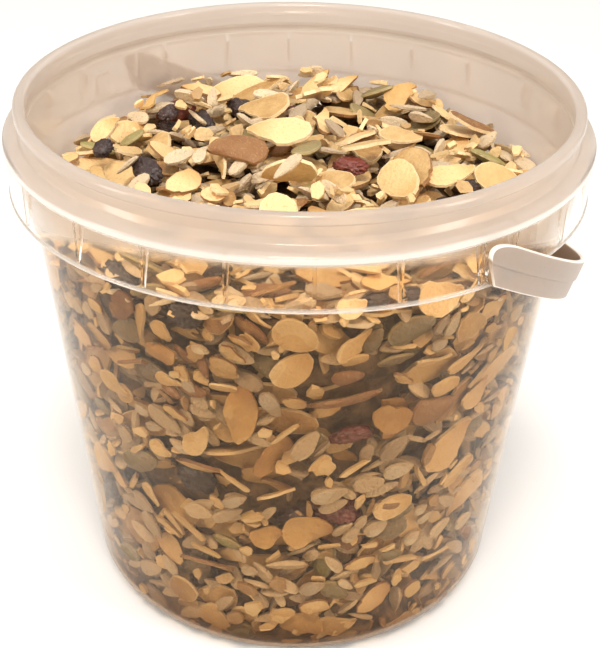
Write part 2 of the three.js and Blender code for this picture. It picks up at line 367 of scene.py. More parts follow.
# heights and radii in metres, each from where a look starts to where it is full
clearLook = {
    "ior": 1.24,
    "reflection": (1.0, 0.72, 0.48),
    "through": (0.96, 0.925, 0.875),  # what is left of light that shines through
    "wall": (0.87, 0.77, 0.645),
    # painted shade: dark brown tint on the lowest wall, fading out over these heights
    "footShadeTint": (0.30, 0.17, 0.08),
    "footShadeFade": (0.003, 0.024),
    "skirt": (0.98, 0.96, 0.93),
    "skirtAt": (0.0848, 0.0854),
    "milk": (0.655, 0.58, 0.525),
    "milkWall": (0.1425, 0.1460),
    "milkWallWithin": (0.0846, 0.0844),
    "milkRim": (0.1543, 0.1550),
    "sideDip": (0, 0.0064, 0, 0.0125),  # by the square of the way sideways
    "backRise": (-0.06, 0.02, -0.008, 0.009),
    # painted highlight, white, on the flange edge and skirt bead
    "white": (0.82, 0.785, 0.745),
    "flangeEdge": (0.0866, 0.0870),
    "flangeFrom": (0.1536, 0.1541),
    "flangeTo": (0.1567, 0.1560),
    "bead": (0.0855, 0.0858),
    "beadUnder": (0.1415, 0.1411),
    # each from the wall's to the milky rim's
    "clearness": (0.995, 0.64),
    "roughness": (0.07, 0.34),
    "coat": (0, 0.5),
    "coatRoughness": 0.12,
    "whiteness": (0, 0.25),  # what the painted edge highlight takes off the clearness
    "ripple": (55.0, 3.0),  # of the moulding, far finer than the wall: scale and detail
    "rippleBump": (0.06, 0.001),
}


def clearPlastic():
    # dust dulls the wall above the muesli, and the lowest wall has painted shade, a dark brown tint that
    # deepens towards the foot; the rim is milkier than the wall and skirt, and the flange edge and skirt
    # bead have a white painted highlight
    look = clearLook
    material, tree = startMaterial("clearPlastic")
    spot = addNode(tree, "ShaderNodeTexCoord").outputs["Object"]

    def along(*way):
        node = addNode(tree, "ShaderNodeVectorMath", {0: spot, 1: way}, operation="DOT_PRODUCT")
        return node.outputs["Value"]

    def ramp(source, limits, ends=(0.0, 1.0)):
        return spread(tree, source, *limits, *ends)

    flat = addNode(tree, "ShaderNodeVectorMath", {0: spot, 1: (1, 1, 0)}, operation="MULTIPLY")
    far = addNode(tree, "ShaderNodeVectorMath", {0: flat.outputs["Vector"]}, operation="LENGTH")
    far = far.outputs["Value"]
    height = along(0, 0, 1)
    cos = math.cos(heap["dipTurn"])
    sin = math.sin(heap["dipTurn"])
    side = along(cos, sin, 0)
    sideDip = spread(tree, combine(tree, "MULTIPLY", side, side), *look["sideDip"])
    backRise = spread(tree, along(-sin, cos, 0), *look["backRise"])
    overMuesli = combine(tree, "ADD", height, combine(tree, "ADD", sideDip, backRise))
    wallMilk = combine(
        tree, "MULTIPLY", ramp(overMuesli, look["milkWall"]), ramp(far, look["milkWallWithin"])
    )
    milk = combine(tree, "MAXIMUM", wallMilk, ramp(height, look["milkRim"]))
    # painted highlight: where the flange edge and skirt bead turn white
    flangeEdge = combine(
        tree, "MULTIPLY", ramp(far, look["flangeEdge"]), ramp(height, look["flangeFrom"])
    )
    flangeEdge = combine(tree, "MULTIPLY", flangeEdge, ramp(height, look["flangeTo"]))
    bead = combine(tree, "MULTIPLY", ramp(far, look["bead"]), ramp(height, look["beadUnder"]))
    white = combine(tree, "MAXIMUM", flangeEdge, bead)
    whole = (0, 1)
    clear = combine(
        tree, "SUBTRACT", ramp(milk, whole, look["clearness"]), ramp(white, whole, look["whiteness"])
    )
    # painted shade: the lowest wall darkens towards the foot
    colour = mixColour(tree, ramp(height, look["footShadeFade"]), look["footShadeTint"], look["wall"])
    colour = mixColour(tree, ramp(far, look["skirtAt"]), colour, look["skirt"])
    colour = mixColour(tree, milk, colour, look["milk"])
    colour = mixColour(tree, white, colour, look["white"])
    surface = addNode(tree, "ShaderNodeBsdfPrincipled", {
        "Base Color": colour, "IOR": look["ior"], "Specular Tint": (*look["reflection"], 1),
        "Transmission Weight": clear, "Roughness": ramp(milk, whole, look["roughness"]),
        "Coat Weight": ramp(milk, whole, look["coat"]), "Coat Roughness": look["coatRoughness"],
        "Normal": bumpNormal(tree, objectNoise(tree, *look["ripple"]), *look["rippleBump"]),
    }).outputs["BSDF"]
    rays = addNode(tree, "ShaderNodeLightPath").outputs
    through = addNode(tree, "ShaderNodeBsdfTransparent", {"Color": (*look["through"], 1)})
    for ray in ("Is Diffuse Ray", "Is Shadow Ray"):
        surface = addNode(tree, "ShaderNodeMixShader", {
            "Fac": rays[ray], 1: surface, 2: through.outputs["BSDF"],
        }).outputs["Shader"]
    endMaterial(tree, surface)
    return material


# pail: one clear moulding
pail = {
    "sides": 200,
    "baseRadius": 67.6,  # outside, where the base corner meets the cone
    "neckRadius": 83.0,  # outside of the cone, under the flange
    "cornerRadius": 12.0,
    "flangeUnder": 155.2,
    "wall": 1.2,
    "cornerSteps": 14,
    "floorRise": 1.5,  # of the floor inside the foot ring
    "footRadius": 48.0,
    "ribAngles": [4, 20, 35, 50.2, 65.5, 80.8],  # degrees from each ear, both ways
    "ribOutline": [(82.4, 155.6), (86.8, 155.6), (86.6, 141.2), (85.6, 141.2)],
    "ribThick": 1.0,
    "earBoss": (5.6, 84.6, 88.1),  # radius, inner and outer end
    "pinHole": (2.9, 83.8, 90),
    "pivotHeight": 145.1,
    "lugSize": 7.0,
    "lugHeight": 148.0,
    "lugAngle": 14.5,
    "lugSteps": [(1, -0.8), (1, 1.0), (0.93, 1.4)],  # share of its size, how far out
    "sharp": 32,
}


def coneRadius(z):
    share = (z - pail["cornerRadius"]) / (pail["flangeUnder"] - pail["cornerRadius"])
    return pail["baseRadius"] + (pail["neckRadius"] - pail["baseRadius"]) * share


def cornerArc(inset, fromAngle, toAngle, steps):
    centre = pail["baseRadius"] - pail["cornerRadius"]
    radius = pail["cornerRadius"] - inset
    for k in range(steps + 1):
        a = math.radians(fromAngle + (toAngle - fromAngle) * k / steps)
        yield centre + radius * math.cos(a), pail["cornerRadius"] + radius * math.sin(a)


def pailPath():
    steps = pail["cornerSteps"]
    foot = [(0, 1.5, 0), (47, 1.5, 1), (49, 0, 0.6)]
    foot += [(r, z, 0) for r, z in cornerArc(0, -90, 0, steps)]
    outside = [
        (83, 155.2, 0.6), (86.4, 155.2, 0.5), (86, 140.3, 0.2), (87.4, 140.3, 0.3),
        (87.4, 141.1, 0.2), (87.1, 141.5, 0.2), (87.5, 154.0, 0.3), (88, 154.6, 0.3),
        (88, 156.8, 0.8), (83.4, 157.9, 0.9), (82.4, 159.7, 0.9), (82.4, 162.8, 0.4),
        (83.7, 163.3, 0.3), (84.3, 163.9, 0.5), (84.3, 166.5, 1.3), (80.8, 166.5, 1.2),
        (80.9, 162.6, 0.5), (81.2, 160.0, 0.8), (81.1, 159.0, 0.5), (81.8, 156.8, 1),
    ]
    inside = [(r, z, 0) for r, z in cornerArc(pail["wall"], 0, -90, steps)]
    inside += [(48.4, 1.2, 0.8), (46.4, 2.7, 1), (0, 2.7, 0)]
    return rounded(foot + outside + inside)


def ribShape():
    points = [(x, s * pail["ribThick"] / 2, z) for s in (-1, 1) for x, z in pail["ribOutline"]]
    return makeMesh("ribShape", points, prismFaces(len(pail["ribOutline"])))


def cylinderAlongX(radius, start, end, height, sides=64, soft=0.4):
    path = [(0, start, 0), (radius, start, soft), (radius, end, soft), (0, end, 0)]
    points, faces = turnProfile(rounded(path), sides)
    return [(z, x, y + height) for x, y, z in points], faces


def lugShape():
    half = pail["lugSize"] / 2
    loop = rounded([
        (-half, 0, 0), (-half, half, 1.6), (half, half, 1.6), (half, -half, 1.6),
        (-half, -half, 1.6), (-half, 0, 0),
    ], 6)[:-1]
    base = coneRadius(pail["lugHeight"])
    points = []
    for scale, out in pail["lugSteps"]:
        points += [(base + out, y * scale, pail["lugHeight"] + z * scale) for y, z in loop]
    n = len(loop)
    faces = [tuple(range(n - 1, -1, -1)), tuple(range(2 * n, 3 * n))]
    for i in (0, n):
        faces += [(i + k, i + (k + 1) % n, i + n + (k + 1) % n, i + n + k) for k in range(n)]
    return points, faces


def carve(target, tools, operation):
    for tool in tools:
        modifier = target.modifiers.new("carve", "BOOLEAN")
        modifier.operation = operation
        modifier.solver = "EXACT"
        modifier.object = tool
    target.data = applied(target)
    for tool in tools:
        bpy.data.objects.remove(tool)


def onBothSides(name, points, faces, turned=0):
    return [addObject(name, makeMesh(name, aboutZ(points, side + turned), faces)) for side in (0, 180)]


def makePail():
    material = clearPlastic()
    piece = addObject("clearPail", makeMesh("clearPail", *turnProfile(pailPath(), pail["sides"])))
    places = []
    for ear in (0, 180):
        for angle in pail["ribAngles"]:
            for way in (1, -1):
                turn = Matrix.Rotation(math.radians(ear + way * angle), 3, "Z").to_quaternion()
                places.append(((0, 0, 0), turn, (1, 1, 1), 0, -1, 0))
    tools = [setOut("skirtRibs", [ribShape()], places, material)]
    lugs = onBothSides("lug", *lugShape(), pail["lugAngle"])
    bosses = onBothSides("boss", *cylinderAlongX(*pail["earBoss"], pail["pivotHeight"]))
    for pair in zip(lugs, bosses):
        tools += pair
    carve(piece, tools, "UNION")
    holes = onBothSides("hole", *cylinderAlongX(*pail["pinHole"], pail["pivotHeight"], soft=0))
    carve(piece, holes, "DIFFERENCE")
    mesh = piece.data
    mesh.materials.clear()
    mesh.materials.append(material)
    mesh.polygons.foreach_set("material_index", np.zeros(len(mesh.polygons), np.int32))
    mesh.shade_smooth()
    mesh.set_sharp_from_angle(angle=math.radians(pail["sharp"]))
    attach(piece, "pail")
    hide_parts("pail")
    print("pail", len(mesh.polygons), "faces")


makePail()

# handle: a stepped strap bent to a half loop, a headed pin in each end
handle = {
    "reach": 90.5,
    "depth": 91.5,
    "droop": math.radians(28.4),
    "thick": 1.1,
    "above": 7.0,
    "below": 5.0,
    "step": 0.45,
    "end": 8.8,
    "endSlant": 0.115,
    "steps": 128,
    "endSteps": 14,
    "pin": 2.4,
    "pinHead": 3.3,
    "headInner": 83.0,
    "headThick": 1.1,
    "dark": (0.275, 0.215, 0.173),
    "light": (0.34, 0.275, 0.226),
    "edgeColour": (0.86, 0.82, 0.77),  # the thin edges catch the light
}


def whitePlastic():
    material, tree = startMaterial("whitePlastic")
    cloud = objectNoise(tree, 30.0, 4.0)
    colour = colourRamp(tree, cloud, [(0, handle["dark"]), (1, handle["light"])])
    body = addNode(tree, "ShaderNodeBsdfPrincipled", {
        "Base Color": mixColour(tree, markOf(tree, "edge"), colour, handle["edgeColour"]),
        "IOR": 1.49, "Roughness": spread(tree, cloud, 0, 1, 0.28, 0.42),
        "Subsurface Weight": 0.8, "Subsurface Radius": (1.0, 0.85, 0.7), "Subsurface Scale": 0.004,
        "Normal": bumpNormal(tree, objectNoise(tree, 900.0, 2.0), 0.12, 0.0003),
    })
    endMaterial(tree, body.outputs["BSDF"])
    return material


def strapStations():
    endSteps = handle["endSteps"]
    reach = handle["reach"]
    depth = handle["depth"]
    end = [-handle["end"] * k / endSteps for k in range(1, endSteps + 1)]
    stations = [(reach, along, 1, 0) for along in reversed(end)]
    for k in range(handle["steps"] + 1):
        a = math.pi * k / handle["steps"]
        way = Vector((math.cos(a) / reach, math.sin(a) / depth)).normalized()
        stations.append((reach * math.cos(a), depth * math.sin(a), way.x, way.y))
    return stations + [(-reach, along, -1, 0) for along in end]


def strapTop(along):
    # the ends are rounded off
    if along >= 0:
        return handle["above"]
    t = min(1, -along / handle["end"])
    return 1 + (handle["above"] - 1) * math.sqrt(max(0.02, 1 - t * t))


def strapLoop(top):
    thick = handle["thick"]
    low = -handle["below"]
    step = handle["step"]
    corners = [
        (-thick, 0, 0), (-thick, low, 0.4), (0, low, 0.4), (0, 0.5, 0.15),
        (step, 0.9, 0.2), (step, top, 0.45), (-thick, top, 0.45), (-thick, 0, 0),
    ]
    return rounded(corners, 3)[:-1]


def makeHandle():
    cos = math.cos(handle["droop"])
    sin = math.sin(handle["droop"])
    points = []
    faces = []
    edges = []
    stations = strapStations()
    for x, along, nx, na in stations:
        top = strapTop(along)
        loop = strapLoop(top)
        for out, up in loop:
            # painted highlight along the strap's top and bottom edges
            edges.append(0.75 if up > top - 0.3 or up < 0.3 - handle["below"] else 0.0)
            slant = 1 + handle["endSlant"] * (up - 1) if along < 0 else 1
            far = along * slant + na * out
            points.append(
                (x + nx * out, far * cos + up * sin, pail["pivotHeight"] - far * sin + up * cos)
            )
    n = len(loop)
    last = (len(stations) - 1) * n
    for i in range(0, last, n):
        faces += [(i + k, i + (k + 1) % n, i + n + (k + 1) % n, i + n + k) for k in range(n)]
    faces.append(tuple(range(n)))
    faces.append(tuple(range(last + n - 1, last - 1, -1)))
    head = handle["headInner"]
    for side in (0, 180):
        for radius, start, end in [
            (handle["pin"], head + 0.2, handle["reach"] - 0.5),
            (handle["pinHead"], head, head + handle["headThick"]),
        ]:
            pinPoints, pinFaces = cylinderAlongX(radius, start, end, pail["pivotHeight"], 40, 0.3)
            first = len(points)
            points += aboutZ(pinPoints, side)
            faces += [tuple(first + v for v in f) for f in pinFaces]
    mesh = makeMesh("strapHandle", points, faces, 30)
    paintMark(mesh, "edge", edges + [0.0] * (len(points) - len(edges)))
    piece = addObject("strapHandle", mesh, whitePlastic())
    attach(piece, "handle")
    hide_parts("handle")
    print("handle", len(mesh.polygons), "faces")


makeHandle()

# muesli: where things lie
rng = np.random.default_rng(heap["seed"])
noise.seed_set(heap["seed"])  # else noise_vector starts from the time of day
wholeTurn = 2 * math.pi


def heapLevel(x, y):
    side = (x * math.cos(heap["dipTurn"]) + y * math.sin(heap["dipTurn"])) / heap["reach"]
    out = (x * x + y * y) / heap["reach"] ** 2
    return heap["level"] + heap["crown"] * (1 - out) - heap["dip"] * side * side


def innerPath():
    # the pail's inside from the foot ring up: the distance along it, and its (r, z)
    path = [(50.0, pail["wall"])]
    path += list(cornerArc(pail["wall"], -90, 0, 24))
    top = heap["level"] + 12
    path.append((coneRadius(top) - pail["wall"], top))
    path = np.array(path)
    along = np.concatenate([[0], np.cumsum(np.hypot(*np.diff(path, axis=0).T))])
    return along, path


wallAlong, wallPath = innerPath()


def wallPoint(t):
    def at(t, column):
        return np.interp(t, wallAlong, wallPath[:, column])

    dr, dz = [float(at(t + 1, column) - at(t - 1, column)) for column in (0, 1)]
    return float(at(t, 0)), float(at(t, 1)), Vector((dr, dz)).normalized()


def wallDistance(z):
    return float(np.interp(z, wallPath[:, 1], wallAlong))


def settle(field, at, size, yaw, roll, bend, steepest, wrap, press=0.0, unrest=0.06, packing=93):
    # lets a lens-shaped piece down on a height field and returns its height and slopes
    grain = heap["grain"]
    halfLong, halfWide, halfThick = size
    wide = math.hypot(halfWide * math.cos(roll), halfThick * math.sin(roll))
    thick = math.hypot(halfWide * math.sin(roll), halfThick * math.cos(roll))
    reach = int(math.ceil(max(halfLong, wide) / grain)) + 1
    col = int(round(at[0] / grain))
    row = int(round(at[1] / grain))
    cols = np.arange(col - reach, col + reach + 1)
    rows = np.arange(row - reach, row + reach + 1)
    rows = rows[(rows >= 0) & (rows < field.shape[0])]
    if not wrap:
        cols = cols[(cols >= 0) & (cols < field.shape[1])]
    if len(rows) < 3 or len(cols) < 3:
        return None
    du = (cols * grain - at[0])[None, :]
    dv = (rows * grain - at[1])[:, None]
    cos = math.cos(yaw)
    sin = math.sin(yaw)
    q = ((du * cos + dv * sin) / halfLong) ** 2 + ((dv * cos - du * sin) / wide) ** 2
    inside = q < 1
    if inside.sum() < 4:
        return None
    cells = np.ix_(rows, cols % field.shape[1])
    curve = bend[0] * du ** 2 + bend[1] * dv ** 2
    ground = (field[cells] + curve)[inside]
    du = np.broadcast_to(du, q.shape)[inside]
    dv = np.broadcast_to(dv, q.shape)[inside]
    plane = np.stack([np.ones_like(du), du, dv], 1)
    fit = np.linalg.lstsq(plane, ground, rcond=None)[0]
    slope = fit[1:] * 0.9 + rng.normal(0, unrest, 2)
    steep = math.hypot(*slope)
    if steep > steepest:
        slope *= steepest / steep
    half = thick * np.sqrt(1 - q[inside] ** 2)
    tilt = slope[0] * du + slope[1] * dv
    centre = float(np.percentile(ground - tilt + half, packing)) - press
    upper = centre + tilt + half - curve[inside]
    patch = field[cells]
    patch[inside] = np.maximum(patch[inside], upper)
    field[cells] = patch
    return centre, slope


def orient(frameAxes, yaw, roll, slope):
    normal = Vector((-slope[0], -slope[1], 1)).normalized()
    long = Vector(
        (math.cos(yaw), math.sin(yaw), slope[0] * math.cos(yaw) + slope[1] * math.sin(yaw))
    ).normalized()
    across = normal.cross(long)
    local = Matrix((long, across, normal)).transposed() @ Matrix.Rotation(roll, 3, "X")
    return (frameAxes @ local).to_quaternion()


# half length, width, thickness in mm and how freely each kind rolls about its length
kinds = {
    "almond": {"half": (8.8, 5.0, 0.6), "spread": 0.26, "roll": 0.2, "shapes": 14},
    "flake": {"half": (8.6, 6.6, 1.5), "spread": 0.2, "roll": 0.25, "shapes": 6},
    "kernel": {"half": (4.9, 2.3, 1.05), "spread": 0.13, "roll": 0.7, "shapes": 6},
    "pumpkin": {"half": (7.0, 3.9, 1.15), "spread": 0.12, "roll": 0.35, "shapes": 5},
    "fruit": {"half": (7.4, 4.6, 2.9), "spread": 0.2, "roll": 0.8, "shapes": 6},
    "chip": {"half": (3.0, 1.9, 0.5), "spread": 0.4, "roll": 0.7, "shapes": 10},  # two are sticks
}
laid = {name: [] for name in kinds}


def pieceSize(kind):
    facts = kinds[kind]
    grow = float(np.clip(rng.normal(1, facts["spread"]), 0.6, 1.35))
    stretch = rng.uniform(0.9, 1.1, 3)
    scale = (grow * stretch[0], grow * stretch[1], (0.5 + 0.5 * grow) * stretch[2])
    size = [h * s for h, s in zip(facts["half"], scale)]
    return scale, size


def rollAndShape(kind):
    roll = rng.normal(0, kinds[kind]["roll"]) + math.pi * rng.integers(2)
    return roll, int(rng.integers(kinds[kind]["shapes"]))


def shuffled(counts):
    order = [kind for kind, n in counts.items() for _ in range(n)]
    rng.shuffle(order)
    return order


def lowestOf(tries, guess):
    return min((guess() for _ in range(tries)), key=lambda found: found[0])


# pieces against the wall: the first ones touch it, and later ones lie behind them
wallCols = int(round(wholeTurn * heap["meanRadius"] / heap["grain"]))
wallGrain = wholeTurn / wallCols
wallRows = int(wallAlong[-1] / heap["grain"]) + 2
wallField = np.zeros((wallRows, wallCols))


def wallTop(angle):
    r = heap["reach"] - 1
    return wallDistance(heapLevel(r * math.cos(angle), r * math.sin(angle)))


def layOnWall(kind, angle, t, yaw, roll, scale, size, shape, press, tone=-1):
    r, z, way = wallPoint(t)
    flat = Vector((0, -1, 0))
    slant = Vector((way.x, 0, way.y))
    inward = flat.cross(slant)
    about = Matrix.Rotation(angle, 3, "Z")
    axes = about @ Matrix((flat, slant, inward)).transposed()
    onCorner = 1.0 if wallAlong[1] < t < wallAlong[25] else 0.0
    bend = (-inward.x / (2 * r), onCorner / (2 * (pail["cornerRadius"] - pail["wall"])))
    place = (-angle / wallGrain * heap["grain"], t)
    rest = settle(wallField, place, size, yaw, roll, bend, 0.5, True, press)
    if rest is None:
        return
    centre, slope = rest
    point = about @ Vector((r, 0, z)) + axes @ Vector((0, 0, centre - heap["intoWall"]))
    # painted shade: more at the foot, and less behind the skirt, which looks lighter
    atFoot = max(0, 1 - z / heap["footHeight"])
    lit = float(np.interp(z, heap["litBetween"], (0, heap["shade"])))
    shade = heap["shade"] + heap["footShade"] * atFoot - lit
    laid[kind].append((tuple(point), orient(axes, yaw, roll, slope), scale, shape, tone, shade))


def fillWall(counts, press=0.25):
    for kind in shuffled(counts):
        scale, size = pieceSize(kind)

        def guess():
            angle = rng.uniform(-math.pi, math.pi)
            t = rng.uniform(2, wallTop(angle) - size[1] * 0.8)
            row = min(int(t / heap["grain"]), wallRows - 1)
            col = int(-angle / wallGrain) % wallCols
            return wallField[row, col] + rng.uniform(0, 0.6), angle, t

        _, angle, t = lowestOf(14, guess)
        yaw = rng.normal(0, 0.75) if kind != "chip" else rng.uniform(0, math.pi)
        roll, shape = rollAndShape(kind)
        # painted light: pieces high on the wall, lit from above, get light tones
        tone = rng.uniform(0.75, 1) if wallPoint(t)[1] > heap["paintedLightFrom"] else -1
        layOnWall(kind, angle, t, yaw, roll, scale, size, shape, press, tone)
